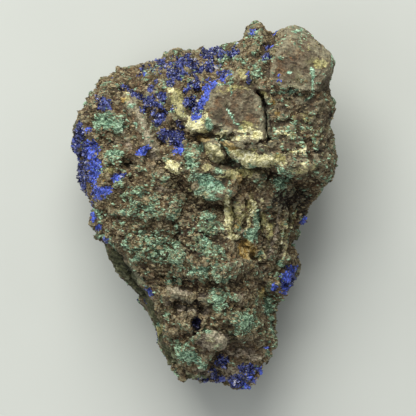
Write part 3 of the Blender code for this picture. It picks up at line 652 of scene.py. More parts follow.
def patches(places, spots):
    """The highest of cover less (distance in half widths) squared over all patches, and -1 far from them."""
    field = np.full(len(places), NO_COVER)
    for x, y, half_width, half_height, turn, cover in spots:
        away = (places - on_stone((x, y))) / (MM_PER_PIXEL * MM)
        c, s = math.cos(math.radians(turn)), math.sin(math.radians(turn))
        along, beside = away @ np.array([c, s]), away @ np.array([-s, c])
        field = np.maximum(field, cover - (along / half_width) ** 2 - (beside / half_height) ** 2)
    return field


def strokes(places, lines):
    """The highest of cover less (distance in half widths) squared over all lines."""
    field = np.full(len(places), NO_COVER)
    for half_width, cover, line in lines:
        away = distance_to_line(places, on_stone(line)) / (half_width * MM_PER_PIXEL * MM)
        field = np.maximum(field, cover - away**2)
    return field


test_patch = (*MIDDLE_PIXEL, 10, 5, 0, 0.8)
print("a patch of cover 0.8 has", patches(np.zeros((1, 2)), [test_patch])[0], "at its middle")

# %% [markdown]
# ## Azurite's places
#
# Dark azurite grew as a druse along the top edge, in the gully beside the block and at the foot. Bright
# azurite is a crust down the left side, round the block's corner and in one spot on the right flank.

# %% Patches of azurite
BRIGHT_AZURITE = [
    (93, 150, 7, 12, -5, 0.75), (96, 172, 7, 17, -5, 0.8), (100, 193, 8, 10, 30, 0.75),
    (119, 178, 9, 4, 25, 0.7), (108, 190, 7, 4, -15, 0.8), (93, 214, 2.5, 10, 25, 0.6),
    (100, 227, 3, 4, 0, 0.6), (108, 238, 3, 4, 30, 0.5), (91, 130, 3, 7, -10, 0.5),
    (109, 75, 5, 2.5, 0, 0.5), (145, 75, 3, 2, 0, 0.7), (155, 82, 3, 2, 0, 0.8),
    (204, 103, 12, 4.5, 60, 0.9), (211, 87, 9, 4, 40, 0.9), (197, 118, 7, 4, 10, 0.7),
    (223, 80, 8, 3, 10, 0.7), (144, 152, 8, 4, 30, 0.8), (179, 152, 6, 4.5, 0, 1.0),
    (253, 33, 4, 3, 50, 0.9), (275, 36, 4, 2.5, 0, 0.8), (277, 83, 3, 1.3, 0, 0.8),
    (278, 77, 2, 1.3, 0, 0.5), (291, 281, 9, 13, -10, 1.1), (274, 288, 3, 4, 0, 0.9),
    (302, 226, 3, 4, 0, 1.0), (150, 291, 9, 1.6, -55, 0.5), (252, 387, 14, 3.5, 15, 0.6),
    (265, 376, 3.5, 8, 15, 0.6), (236, 392, 8, 2, 0, 0.5), (240, 384, 16, 3, 8, 0.4),
    (250, 374, 8, 4, 0, 0.35), (267, 347, 4, 2, 0, 0.6), (272, 48, 3, 2, 30, 0.5), (186, 92, 4, 3, 0, 0.5),
    (209, 80, 5, 3, 0, 0.5),
]
DARK_AZURITE = [
    (158, 64, 12, 5, 10, 0.55), (186, 61, 16, 7, 5, 0.6), (212, 56, 18, 7, 3, 0.65),
    (233, 55, 9, 6, 0, 0.7), (178, 77, 12, 5, 15, 0.85), (206, 70, 14, 5, 0, 0.65), (224, 75, 8, 4, 0, 0.6),
    (157, 82, 5, 3, 0, 0.6), (151, 90, 4, 3, 0, 0.8), (171, 85, 5, 3, 0, 0.8), (137, 97, 8, 4, -20, 0.8),
    (153, 104, 11, 5, -25, 0.85), (163, 97, 5, 6, 0, 0.7), (160, 119, 9, 8, 0, 0.75),
    (172, 137, 15, 8, -25, 0.95), (180, 126, 6, 7, 0, 0.6), (105, 105, 8, 8, 0, 0.85),
    (99, 98, 4, 3, 0, 0.5), (82, 182, 5, 22, 0, 0.95), (79, 140, 5, 24, -10, 0.8),
    (91, 205, 4, 10, 10, 0.7), (190, 102, 8, 9, 0, 0.7), (196, 86, 10, 6, 0, 0.6),
    (267, 50, 4, 2.5, 35, 1.0), (86, 168, 6, 34, -5, 0.55), (224, 380, 20, 5, -5, 0.3),
    (262, 380, 7, 8, 0, 0.5), (266, 61, 5, 2.5, 35, 1.0), (246, 81, 1.6, 4, 0, 0.9),
    (222, 361, 9, 6, 20, 0.9), (245, 367, 12, 5, 5, 0.9), (236, 384, 13, 5, 10, 0.5),
    (213, 371, 8, 5, 0, 0.5), (203, 378, 10, 3, 0, 0.4), (107, 240, 3, 4, 0, 0.8), (291, 283, 7, 9, 0, 0.6),
    (143, 300, 6, 2, -55, 0.3), (240, 376, 24, 9, 10, 0.25), (140, 74, 10, 5, 20, 0.35),
    (125, 88, 8, 5, 20, 0.3), (198, 112, 6, 7, 0, 0.5), (144, 112, 6, 5, 0, 0.3),
    (185, 68, 60, 20, 5, 0.12), (165, 110, 40, 26, 0, 0.05),
]
print(len(BRIGHT_AZURITE), "bright and", len(DARK_AZURITE), "dark patches of azurite")

# %% [markdown]
# ## Malachite's places
#
# Malachite coats the ledges and the crumbly middle, and runs as thin veins across the block.

# %% Patches and veins of malachite
MALACHITE = [
    (106, 123, 13, 9, 0, 0.9), (120, 128, 8, 9, 0, 0.6), (114, 155, 12, 5, 0, 0.7),
    (100, 171, 5, 6, 0, 0.7), (190, 161, 5, 6, 0, 1.0), (209, 183, 18, 8, -25, 1.0),
    (206, 193, 12, 6, -30, 0.8), (209, 127, 6, 8, 0, 0.6), (196, 124, 12, 7, 20, 0.35),
    (243, 63, 7, 4, 0, 0.8), (236, 58, 5, 5, 0, 0.4), (250, 234, 7, 6, 0, 1.2), (258, 255, 6, 6, 0, 0.5),
    (245, 322, 10, 11, 0, 0.7), (188, 356, 12, 8, -30, 0.9), (200, 362, 9, 6, -35, 0.7),
    (268, 305, 6, 13, 0, 0.5), (272, 325, 5, 12, 0, 0.5), (280, 182, 8, 6, -20, 0.75),
    (147, 209, 6, 4, 0, 0.6), (125, 211, 5, 3, 0, 0.5), (141, 196, 6, 4, 0, 0.35),
    (140, 258, 12, 5, 10, 0.3), (178, 248, 8, 7, 0, 0.15), (212, 218, 8, 6, 0, 0.2),
    (206, 240, 7, 9, 0, 0.15), (133, 107, 6, 4, 0, 0.4), (137, 126, 4, 5, 0, 0.4),
    (218, 298, 6, 4, -25, 0.9), (170, 281, 6, 4, 0, 0.7), (160, 325, 3, 7, 30, 0.5),
    (206, 330, 6, 3, 0, 0.4), (227, 149, 4, 8, 30, 0.7), (196, 270, 16, 5, 10, 0.6),
    (250, 84, 4, 3, 0, 0.4), (260, 76, 4, 2.5, 0, 0.6), (311, 76, 2.5, 7, 0, 0.6), (290, 94, 9, 2, 5, 0.5),
    (288, 75, 5, 2, 0, 0.5), (230, 41, 7, 3, 0, 0.4), (330, 62, 2.5, 9, 0, 0.5), (296, 33, 9, 2, 10, 0.5),
    (173, 112, 4, 3, 0, 0.6), (280, 262, 6, 7, 0, 0.4), (182, 117, 4, 2.5, 0, 0.8),
    (240, 130, 5, 4, 0, 0.3), (219, 172, 10, 4, -10, 0.5), (288, 178, 5, 8, 0, 0.4),
    (206, 101, 13, 4, 60, 0.35), (199, 113, 8, 5, 0, 0.4), (171, 89, 4, 3, 0, 0.5),
    (252, 166, 18, 5, 5, 0.5), (200, 150, 4, 9, -30, 0.6), (236, 162, 6, 5, 0, 0.4),
    (256, 220, 4, 14, 0, 0.7), (238, 226, 5, 8, 0, 0.4), (98, 212, 4, 16, 25, 0.5),
    (110, 240, 4, 12, 35, 0.4), (222, 138, 6, 7, 30, 0.5), (299, 45, 30, 20, -20, -0.05),
]
MALACHITE_VEINS = [
    (1.2, 0.8, [(227, 111), (231, 117), (234, 124), (241, 128), (245, 136)]),
    (1.1, 0.7, [(216, 87), (223, 85), (233, 85)]), (1.0, 0.6, [(230, 86), (231, 96)]),
    (1.2, 0.6, [(309, 70), (311, 84), (310, 98), (303, 103)]),
    (1.0, 0.5, [(276, 95), (290, 94), (301, 96)]), (1.2, 0.6, [(300, 30), (318, 42), (331, 55), (334, 66)]),
]
print(len(MALACHITE), "patches and", len(MALACHITE_VEINS), "veins of malachite")

# %% [markdown]
# ## Pale clay
#
# Cream clay fills the plates below the block, ochre clay lies in the gaps between them, and
# straw-coloured clay stains the rock round both. Streaks of cream and straw run down the right flank and
# across the block.

# %% Patches and streaks of cream, ochre and straw
CREAM = [
    (257, 137, 13, 8, 10, 0.35), (240, 133, 12, 4, -15, 0.3), (193, 125, 12, 7, 15, 0.8),
    (202, 131, 9, 5, -30, 0.6), (214, 153, 10, 7, -40, 1.4), (221, 160, 6, 4, -20, 0.9),
    (250, 159, 17, 6, -20, 1.4), (262, 162, 11, 7, -10, 1.2), (228, 138, 9, 3, -20, 0.5),
    (243, 165, 8, 3, -20, 0.6), (230, 140, 12, 3, -20, 0.5), (264, 147, 7, 3, 0, 0.5),
    (173, 167, 8, 6, -20, 1.0), (179, 171, 5, 4, 0, 0.7), (171, 91, 4, 4, -20, 0.9),
    (281, 134, 12, 4, -5, 0.45), (300, 152, 18, 6, 10, 0.25), (281, 164, 8, 4, 0, 0.55),
    (205, 194, 8, 3, -30, 0.5), (220, 178, 7, 3, 20, 0.6), (236, 238, 8, 2.5, -10, 0.8),
    (128, 94, 5, 3, 30, 0.4), (221, 136, 10, 5, 20, 0.6), (200, 103, 4, 9, 60, 0.45),
    (302, 140, 28, 22, 0, -0.1), (300, 165, 14, 4, 10, 0.3), (205, 118, 3, 9, -15, 0.6),
    (259, 258, 2.5, 5, 0, 0.7), (227, 214, 3, 17, 0, 0.9), (252, 209, 3, 11, -15, 0.9),
    (212, 338, 12, 6, 25, 0.05), (199, 196, 15, 3, -35, 0.7), (250, 133, 16, 8, 0, 0.2),
    (262, 200, 3, 6, -30, 0.5), (268, 228, 2.5, 8, 10, 0.6), (232, 237, 9, 3, 5, 0.9),
    (292, 234, 2, 14, 12, 0.4), (214, 86, 12, 1.2, 0, 0.5), (190, 118, 5, 4, 0, 0.4),
    (246, 158, 24, 9, -8, 0.45), (213, 152, 12, 7, -35, 0.5), (236, 140, 30, 6, -5, 0.25),
    (190, 134, 10, 6, 0, 0.2),
]
CREAM_STREAKS = [
    (1.8, 0.35, [(227, 196), (229, 208), (227, 222), (231, 236)]),
    (1.8, 0.35, [(248, 197), (254, 204), (258, 226)]), (1.8, 0.4, [(248, 213), (247, 226), (245, 234)]),
    (1.1, 0.4, [(296, 212), (290, 238), (282, 262)]), (1.0, 0.6, [(262, 249), (265, 256), (260, 263)]),
    (1.1, 0.5, [(286, 222), (282, 240), (277, 256)]),
    (1.0, 0.3, [(272, 132), (282, 130), (300, 133), (318, 128)]),
    (1.0, 0.3, [(274, 146), (288, 143), (306, 148)]), (1.0, 0.3, [(280, 156), (292, 153), (308, 158)]),
    (1.0, 0.4, [(206, 99), (199, 108), (193, 116)]),
]
OCHRE = [
    (203, 140, 8, 3.5, -15, 1.1), (230, 147, 10, 3.5, -25, 1.1), (246, 154, 12, 2, -20, 0.5),
    (246, 249, 11, 8, -35, 1.4), (249, 266, 4, 3, 0, 0.6), (271, 103, 4, 5, 0, 0.5),
    (105, 164, 3, 4, 0, 0.7), (106, 181, 3, 2, 0, 0.6), (124, 101, 4, 3, 0, 0.6), (118, 106, 3, 2, 0, 0.4),
    (239, 180, 5, 7, 0, 0.7), (250, 190, 5, 5, 0, 0.3), (163, 327, 6, 3, -25, 0.4),
    (276, 115, 6, 8, 0, 0.2), (237, 224, 5, 9, 0, 0.3), (320, 140, 8, 12, 0, 0.15),
    (262, 290, 4, 6, 0, 0.3),
]
STRAW = [
    (179, 105, 7, 16, 16, 1.1), (211, 149, 8, 5, -35, 1.1), (238, 154, 12, 4, -25, 1.1),
    (270, 229, 3.5, 9, 8, 1.0), (243, 76, 7, 7, 0, 0.9), (319, 66, 9, 6, 0, 0.9), (233, 172, 12, 4, 5, 0.9),
    (262, 293, 6, 8, 0, 0.6), (250, 152, 10, 3, 10, 0.7), (277, 160, 9, 6, 0, 0.8), (262, 96, 6, 7, 0, 0.5),
    (220, 94, 14, 6, 0, 0.2), (250, 197, 5, 8, 0, 0.6), (233, 215, 5, 14, 0, 0.7),
    (242, 214, 18, 28, 0, 0.35), (246, 128, 18, 10, 0, 0.3), (300, 138, 32, 26, 0, 0.12),
    (240, 174, 22, 6, 5, 0.9), (206, 168, 10, 5, 20, 0.5), (284, 232, 5, 26, 12, 0.3),
    (262, 222, 3, 14, 5, 0.5), (305, 170, 22, 7, 15, 0.4), (235, 90, 24, 5, 0, 0.3),
    (249, 268, 6, 3, 0, 0.5), (300, 120, 28, 14, 0, 0.1), (160, 330, 5, 9, -20, 0.5),
    (128, 100, 6, 4, 30, 0.4), (308, 48, 20, 12, -30, 0.15), (285, 245, 10, 20, 15, 0.15),
    (112, 172, 10, 8, 0, 0.3),
]
STRAW_STREAKS = [
    (4.0, 0.5, [(226, 196), (229, 208), (227, 222), (232, 238)]),
    (3.6, 0.4, [(247, 199), (250, 214), (247, 228)]), (3.0, 0.4, [(262, 212), (267, 226), (268, 240)]),
    (2.4, 0.3, [(296, 210), (290, 236), (281, 262)]),
]
print(len(CREAM), "patches of cream,", len(OCHRE), "of ochre and", len(STRAW), "of straw")

# %% [markdown]
# ## Bare rock
#
# Where no copper came the gossan has colours of its own: a little rust, an olive skin on the lower left
# flange, and pale, dry rock at the vug's lumps. The near-black patches are painted shade, with a little
# black oxide among them: under ledges and the block, in dips and gaps, along the left rim, in the vug's
# mouth and in two cracks. The pale patches on the lobe and at the foot are partly painted light.

# %% Patches of rust, painted shade with black oxide, olive, and pale gossan with painted light
RUST = [
    (277, 166, 2.5, 3, 0, 0.7), (262, 85, 4, 1.6, 0, 0.5), (219, 194, 3, 2, 0, 0.6),
    (234, 191, 2.5, 1.5, 0, 0.6), (239, 182, 2.5, 5, 0, 0.5), (238, 289, 6, 3, -20, 0.4),
    (202, 138, 4, 2, 0, 0.4), (290, 62, 12, 6, 0, 0.1), (225, 262, 5, 3, 0, 0.3), (140, 85, 12, 6, 20, 0.2),
    (256, 97, 6, 6, 0, 0.1),
]
# Painted shade: near-black patches under ledges and the block, in dips, in the middle's gaps, along the left
# rim and in the vug's mouth.
WAD_AND_PAINTED_SHADE = [
    (196, 206, 12, 7, -20, 0.5), (190, 278, 20, 4, -8, 0.8), (192, 303, 17, 6, -10, 0.4),
    (290, 199, 25, 12, 5, 0.9), (302, 214, 12, 14, 0, 0.5), (200, 235, 40, 36, 0, 0.28),
    (304, 140, 30, 24, 0, 0.15), (112, 90, 32, 16, 25, 0.15), (77, 134, 8, 28, -10, 0.8),
    (84, 200, 5, 34, 10, 0.4), (262, 176, 10, 4, 0, 0.5), (113, 146, 8, 4, 0, 0.7),
    (132, 165, 6, 4, 0, 0.7), (79, 140, 5, 32, 0, 0.3), (195, 327, 6, 7, 0, 1.0),
    (196, 138, 5, 2, -10, 0.7), (262, 268, 12, 6, -30, 0.3), (232, 282, 10, 5, 0, 0.2),
    (316, 152, 8, 3, 0, 0.6), (330, 117, 3, 6, 0, 0.8), (162, 112, 8, 5, 0, 0.2),
    (140, 275, 16, 4, -40, 0.5), (152, 232, 12, 3, -15, 0.3), (205, 375, 20, 6, -15, 0.2),
    (290, 98, 16, 2, -3, 0.5), (198, 146, 5, 4, 0, 0.5),
]
# Painted shade along the block's crack and under the vug's lumps.
CRACKS_OF_PAINTED_SHADE = [
    (2.5, 1.8, [(260, 98), (264, 103), (266, 112), (267, 122), (268, 134), (269, 144)]),
    (2.4, 1.1, [(171, 294), (182, 299), (192, 302), (207, 301)]), (2.0, 0.9, [(186, 300), (187, 312)]),
    (2.0, 0.9, [(198, 302), (199, 313)]),
]
FLANGE_OLIVE = [
    (116, 260, 9, 15, 22, 1.0), (130, 276, 10, 16, 38, 1.0), (145, 300, 8, 18, 28, 1.0),
    (156, 328, 7, 18, 20, 1.0), (170, 355, 8, 16, 35, 0.9), (190, 376, 14, 6, -20, 0.7),
]
# Pale rock, as at the vug's lumps. The patches on the lobe and at the foot are partly painted light,
# brightening parts that the lamp leaves darker.
PALE_GOSSAN_AND_PAINTED_LIGHT = [
    (211, 339, 15, 9, 25, 1.0), (223, 340, 7, 9, 0, 0.8), (181, 306, 5, 4, 0, 1.0),
    (193, 309, 5, 4, 0, 1.0), (205, 311, 5, 4, 0, 1.0), (178, 290, 16, 5, -8, 0.9),
    (204, 294, 10, 4, -10, 0.8), (168, 302, 6, 5, 0, 0.6), (240, 296, 12, 8, -30, 0.5),
    (122, 130, 5, 8, 20, 0.7), (130, 146, 5, 9, 30, 0.6), (200, 66, 26, 5, 5, 0.3),
    (240, 352, 22, 7, 0, 0.5), (236, 375, 18, 10, 0, 1.0), (205, 372, 14, 6, -20, 0.7),
    (252, 358, 14, 6, 0, 0.5), (246, 372, 22, 12, 0, 0.4), (150, 92, 9, 4, 10, 0.5),
    (232, 265, 10, 5, -30, 0.4), (165, 190, 16, 4, -10, 0.3),
]
PALE_RIDGES = [
    (6.0, 0.25, [(129, 100), (136, 110), (144, 124), (151, 144), (158, 160)]),
    (3.0, 0.7, [(240, 212), (242, 232)]), (2.0, 0.6, [(279, 206), (276, 232), (268, 258)]),
]
print(len(WAD_AND_PAINTED_SHADE), "patches of black oxide and", len(PALE_GOSSAN_AND_PAINTED_LIGHT), "of pale gossan")

# %% [markdown]
# ## Calm and crumbly points
#
# Every point now gets its calmness. The hidden back has none of the photograph's outlines, so it is a
# little calm all over, as weathered rock is. The value front is 1 on the side that the photograph shows,
# and fades to 0 just below the widest line. Down the right flank the rock's streaks run steeply, so it
# gets a mask of its own.

# %% How calm each point is
FLANK_OUTLINE = [
    (226, 186), (262, 178), (300, 196), (310, 230), (290, 300), (262, 320), (246, 262), (226, 244),
]
FLANK_SOFTNESS = 3.0 * MM
FRONT_START, FRONT_GAIN, FRONT_FRAY = 0.7, 2.5, 0.3
BACK_CALM = 0.35
flank = ease(0.5 + depth_inside(points[:, :2], on_stone(FLANK_OUTLINE)) / FLANK_SOFTNESS)
calm = calmness(points[:, :2])
front = ease(FRONT_START + FRONT_GAIN * cube[:, 2] + FRONT_FRAY * blotches(points, 4.0 * MM, 231))
calm = calm * front + BACK_CALM * (1.0 - front)
print("calm share of the surface:", round(float(calm.mean()), 2))

# %% [markdown]
# ## Masks of mineral
#
# Each mineral's patches, frayed by blotches of 2.4 and 1 mm, become a mask from 0 to 1 on the stone's
# points. The hidden back has no photograph, so broad blotches alone choose where azurite and malachite
# grew there. A patch is flat, and on a wall it would hang down as a band, so the walls read the patches
# from a place that sways.

# %% From patches to masks
MASK_GAIN, MASK_START = 1.1, 0.35
MASK_FRAY, LINE_FRAY = 0.7, 0.5
WALL_START, WALL_GAIN, WALL_SWAY = 1.6, 3.2, 3.0 * MM
ragged = 0.5 * blotches(points, 2.4 * MM, 201) + 0.5 * blotches(points, 1.0 * MM, 203)
wall = ease(WALL_START - WALL_GAIN * cube[:, 2])
sway = np.stack([blotches(points, 3.5 * MM, seed) for seed in (241, 243)], axis=1)
places = points[:, :2] + WALL_SWAY * wall[:, None] * sway


def mask(field, behind=NO_COVER, fray=MASK_FRAY):
    """The start plus the gain times a field of patches plus the fray times the ragged noise, from 0 to 1. The
    hidden side has another field."""
    field = field * front + behind * (1.0 - front)
    return np.clip(MASK_START + MASK_GAIN * field + fray * ragged, 0.0, 1.0)


def lined(spots, lines, behind=NO_COVER, fray=LINE_FRAY):
    """A mask of patches with strokes over it."""
    return np.maximum(mask(patches(places, spots), behind), mask(strokes(places, lines), fray=fray))


def hidden(level, *sizes):
    """A field for the hidden side: a level, and blotches that each have a size in mm, a height and a seed."""
    return sum(blotches(points, size * MM, seed) * height for size, height, seed in sizes) + level


BRIGHT_LESS, DARK_LESS, BACK_BRIGHT_LESS = 0.05, 0.18, 0.35
back_azurite = hidden(-0.75, (16.0, 1.2, 211), (5.0, 0.6, 213))
masks = {
    "bright_azurite": mask(patches(places, BRIGHT_AZURITE) - BRIGHT_LESS, back_azurite - BACK_BRIGHT_LESS),
    "dark_azurite": mask(patches(places, DARK_AZURITE) - DARK_LESS, back_azurite),
    "malachite": lined(MALACHITE, MALACHITE_VEINS, hidden(-0.30, (13.0, 1.1, 217), (4.0, 0.6, 219))),
    "cream": lined(CREAM, CREAM_STREAKS, hidden(-0.85, (9.0, 1.2, 223))),
    "ochre": mask(patches(places, OCHRE), hidden(-0.6, (11.0, 1.1, 227))),
    "pale_gossan_and_painted_light": lined(PALE_GOSSAN_AND_PAINTED_LIGHT, PALE_RIDGES),
    "straw": lined(STRAW, STRAW_STREAKS, fray=MASK_FRAY),
    "rust": mask(patches(places, RUST)),
    "wad_and_painted_shade": lined(WAD_AND_PAINTED_SHADE, CRACKS_OF_PAINTED_SHADE),
    "olive": mask(patches(places, FLANGE_OLIVE)),
}
for name, values in masks.items():
    print(name, "covers", f"{100 * values.mean():.1f}% of the points")

# %% [markdown]
# ## The fine relief
#
# On top of the large forms come facets of 3, 1.5 and 0.8 mm. The crumbly places also have shingles: thin
# edges in rows, each rising gently and dropping off sharply, which catch light on top and are dark below.
# Where azurite grew there are knobs. All move each point along the surface's own normal. Where the
# squares are still long, small relief fades, because they can't carry it.

# %% Facets, shingles and knobs along the normal
FINE_CHUNKS = [(3.0, 0.60, 83, 0.85), (1.5, 0.48, 97, 0.75), (0.8, 0.28, 113, 0.4)]
FINE_CREASE, POWDER_KNOBS = 24.0, 0.5
SHINGLES = [(2.3, 0.62, 131), (1.3, 0.30, 149)]
KNOBS = [(2.3, 0.95, 173)]
GRIT, GRIT_SIZE = 0.07 * MM, 0.5
EDGES_PER_FORM = 2.4
CRUMB_ROWS = math.radians(-6)
CRUMB_STRETCH = np.array([0.62, 1.5, 1.0])
WALL_ROWS = 1.3
ROWS_CALMED, ROWS_START, ROWS_GAIN = 0.75, 0.4, 1.4


def in_rows(points):
    """Points turned to the crumbs' rows and stretched, so that a round crumb there is a wide one here."""
    c, s = math.cos(CRUMB_ROWS), math.sin(CRUMB_ROWS)
    return points @ np.array([(c, -s, 0.0), (s, c, 0.0), (0.0, 0.0, 1.0)]) * CRUMB_STRETCH


def shingles(points, spacing, seed):
    """Rows of thin edges: the fraction of a phase that grows towards -Y, and downwards, so that rows cross
    the walls too. Blotches push the phase about, so the rows break up."""
    rows = in_rows(points)
    push = 1.5 * blotches(rows, 2.6 * spacing, seed) + 0.7 * blotches(rows, 1.1 * spacing, seed + 3)
    phase = push - (rows[:, 1] / CRUMB_STRETCH[1] + WALL_ROWS * rows[:, 2]) / spacing
    return phase - np.floor(phase) - 0.5


def carried(size):
    """How much relief of a size in mm each point can carry: the size over 2.4 of its longest edge."""
    return np.clip(size * MM / (EDGES_PER_FORM * longest), 0.0, 1.0)


edge_lengths = np.linalg.norm(points[edges[:, 0]] - points[edges[:, 1]], axis=1)
longest = np.zeros(len(points))
np.maximum.at(longest, edges.ravel(), np.repeat(edge_lengths, 2))
normals = surface_normals(points, quads)
facets = sum(rise * MM * carried(size) * (1.0 - fade * calm) * chunks(points, size * MM, seed, FINE_CREASE)
             for size, rise, seed, fade in FINE_CHUNKS)
rows = sum(rise * MM * carried(size) * shingles(points, size * MM, seed) for size, rise, seed in SHINGLES)
knobs = sum(rise * MM * lumps(points, size * MM, seed) for size, rise, seed in KNOBS)
blue = np.maximum(masks["dark_azurite"], POWDER_KNOBS * masks["bright_azurite"])
grit_height = GRIT * carried(GRIT_SIZE) ** 2 * np.random.default_rng(3).normal(size=len(points))
rows *= (1.0 - ROWS_CALMED * calm) * (1.0 - blue) * ease(ROWS_START + ROWS_GAIN * normals[:, 2])
relief = facets + rows + knobs * blue + grit_height
print("relief from", (relief.min() / MM).round(2), "to", (relief.max() / MM).round(2), "mm")

# %% [markdown]
# ## The little vug
#
# Near the foot an egg-shaped pocket opens in the face. The solid model has the same pocket, and its crust
# says where the egg's middle is. Every point over the egg drops to the egg's lower half: its depth is the
# lower root of the ellipsoid's own equation. The mouth is narrower than the egg and ragged, so the
# crust's lip is hidden.

# %% The egg-shaped pocket
VUG_PLACE = MM * np.array([-2.0, -32.6])
VUG_SIZE = MM * np.array([2.3, 2.8, 4.8])
VUG_TILT = math.radians(18)
CRUST_CLEARANCE = 0.35 * MM
MOUTH_SHARE, MOUTH_FRAY = 0.62, 0.2


def egg_matrix(size):
    """The matrix whose product with an offset from the egg's middle, on both sides, is 1 on its surface."""
    c, s = math.cos(VUG_TILT), math.sin(VUG_TILT)
    turn = np.array([(1.0, 0.0, 0.0), (0.0, c, -s), (0.0, s, c)])
    return turn @ np.diag(size**-2.0) @ turn.T


def egg_floor(away, size):
    """How far the egg's lower half lies below its middle at each offset, and where there is an egg."""
    m = egg_matrix(size)
    lean = away @ m[:2, 2]
    rest = np.einsum("ij,jk,ik->i", away, m[:2, :2], away) - 1.0
    root = lean**2 - rest * m[2, 2]
    return (-lean - np.sqrt(np.maximum(root, 0.0))) / m[2, 2], root > 0.0


crust_size = VUG_SIZE - CRUST_CLEARANCE
egg_drop = math.sqrt(np.linalg.inv(egg_matrix(crust_size))[2, 2])
vug_middle = np.array([*VUG_PLACE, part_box("vug_azurite_crust")[0].z + egg_drop])
points += normals * relief[:, None]
points[:, 2] = np.maximum(points[:, 2], 0.0)
mouth = MOUTH_SHARE + MOUTH_FRAY * blotches(points, 1.3 * MM, 303)
_, over = egg_floor((points[:, :2] - VUG_PLACE) / mouth[:, None], VUG_SIZE)
floor, _ = egg_floor(points[:, :2] - VUG_PLACE, VUG_SIZE)
over &= points[:, 2] > vug_middle[2] - VUG_SIZE[2]
points[over, 2] = np.minimum(points[over, 2], (vug_middle[2] + floor)[over])
print("the vug's middle is", (vug_middle / MM).round(1), "mm")

# %% [markdown]
# ## Crevices
#
# Each point's depth below the surface round it, or its height above it, comes from evening the surface
# out and measuring how far each point lies below the even one. The material uses it for painted shade in
# the low places, with some dirt, and for a painted highlight on the bumps, with some wear.

# %% How deep each point lies in a crevice
SMALL_ROUNDS, SMALL_CREVICE = 8, 0.22 * MM
LARGE_ROUNDS, LARGE_CREVICE = 60, 0.8 * MM
normals = surface_normals(points, quads)
small = ((evened(points, SMALL_ROUNDS) - points) * normals).sum(axis=1) / SMALL_CREVICE
large = ((evened(points, LARGE_ROUNDS) - points) * normals).sum(axis=1) / LARGE_CREVICE
crevice = np.clip(0.5 * small + 0.5 * large, -1.0, 1.0)
print("crevice from", crevice.min().round(2), "to", crevice.max().round(2))

# %% [markdown]
# ## The crumbly green middle
#
# The middle of the face is brown crumbs with malachite on the top of many of them. So malachite there is
# most likely on high points and rare in the gaps. The share of green differs from place to place.

# %% Green on the tops of crumbs
GREEN_CRUMBS = [
    (150, 205, 50, 30, -10, 0.50), (160, 250, 50, 38, -20, 0.56), (205, 240, 34, 40, 0, 0.40),
    (215, 290, 40, 30, 0, 0.50), (120, 160, 22, 16, 0, 0.45), (240, 320, 26, 26, 0, 0.5),
    (185, 345, 20, 24, 0, 0.45), (270, 300, 12, 36, 0, 0.4), (150, 128, 26, 26, 0, 0.12),
    (250, 240, 26, 30, 0, 0.15), (215, 60, 40, 22, 0, 0.20), (298, 136, 38, 34, 0, 0.6),
    (285, 240, 14, 34, 0, 0.20), (255, 40, 14, 18, 0, 0.45),
]
BARE_GOSSAN = [
    (188, 300, 28, 18, 0, 0.8), (176, 292, 18, 12, 0, 0.6), (240, 352, 26, 12, 0, 0.8),
    (236, 285, 16, 14, 0, 0.6), (160, 268, 22, 8, -15, 0.4), (200, 205, 16, 8, -25, 0.5),
    (205, 345, 14, 10, 0, 0.4), (182, 315, 20, 8, 0, 0.5), (165, 190, 22, 8, -10, 0.4),
    (236, 255, 14, 14, 0, 0.5), (178, 235, 14, 8, 0, 0.3), (205, 262, 14, 6, 0, 0.3),
]
GREEN_MOST, GREEN_START, GREEN_SOFTNESS = 0.8, 0.46, 0.5
GREEN_FRAY, GREEN_ON_TOPS = 0.8, 0.35
BACK_GREEN, CALM_BARE = 0.25, 0.8
green = np.clip(patches(places, GREEN_CRUMBS), 0.0, 1.0) - np.clip(patches(places, BARE_GOSSAN), 0.0, 1.0)
green = green * front + BACK_GREEN * (1.0 - front)
green = green + GREEN_FRAY * ragged - GREEN_ON_TOPS * crevice - GREEN_START
green = GREEN_MOST * ease(0.5 + green / GREEN_SOFTNESS) * (1.0 - CALM_BARE * calm)
masks["green_crumbs"] = green
print("green crumbs cover", f"{100 * green.mean():.1f}% of the points")

# %% [markdown]
# ## The stone's mesh
#
# The mesh carries every mask as a named attribute on its points, and the material reads them. The stone
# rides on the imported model's only body and replaces its solid, which stays for collision.

# %% Make the stone
def add_piece(name, points, faces, slot, replaced=(), **attributes):
    """A mesh object at the origin, with an attribute on its points for each mask, riding on the root body."""
    mesh = bpy.data.meshes.new(name)
    mesh.from_pydata(points.tolist(), [], faces)
    for label, values in attributes.items():
        layer = mesh.attributes.new(label, "FLOAT", "POINT")
        layer.data.foreach_set("value", values.astype(np.float32))
    piece = bpy.data.objects.new(name, mesh)
    bpy.context.scene.collection.objects.link(piece)
    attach(piece, "root")
    if replaced:
        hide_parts(*replaced)
    count = sum(len(face) - 2 for face in faces)
    print(name, "has", count, "triangles")
    return piece


stone = add_piece("gossan_stone", points, quads.tolist() + triangles.tolist(), "gossan",
                  ["azurite_specimen"], calm=calm, crevice=crevice, flank=flank, **masks)

# %% [markdown]
# ## Seats for small crystals and grains
#
# Thousands of small crystals and grains stand on the stone. Particles would be simpler, but arrays keep
# every piece a plain mesh. A triangle of the stone is drawn with a chance that goes with its area and its
# mask, a place in it is drawn too, and its normal gives the way up. Then one template shape is turned,
# sized and moved to every seat at once.

# %% Draw seats, and copy a template to them
LEAST_MASK = 0.02
corners = np.vstack([quads[:, [0, 1, 2]], quads[:, [0, 2, 3]], triangles])
sides = points[corners[:, 1:]] - points[corners[:, :1]]
areas = np.linalg.norm(np.cross(sides[:, 0], sides[:, 1]), axis=1) / 2.0
normals = surface_normals(points, quads)


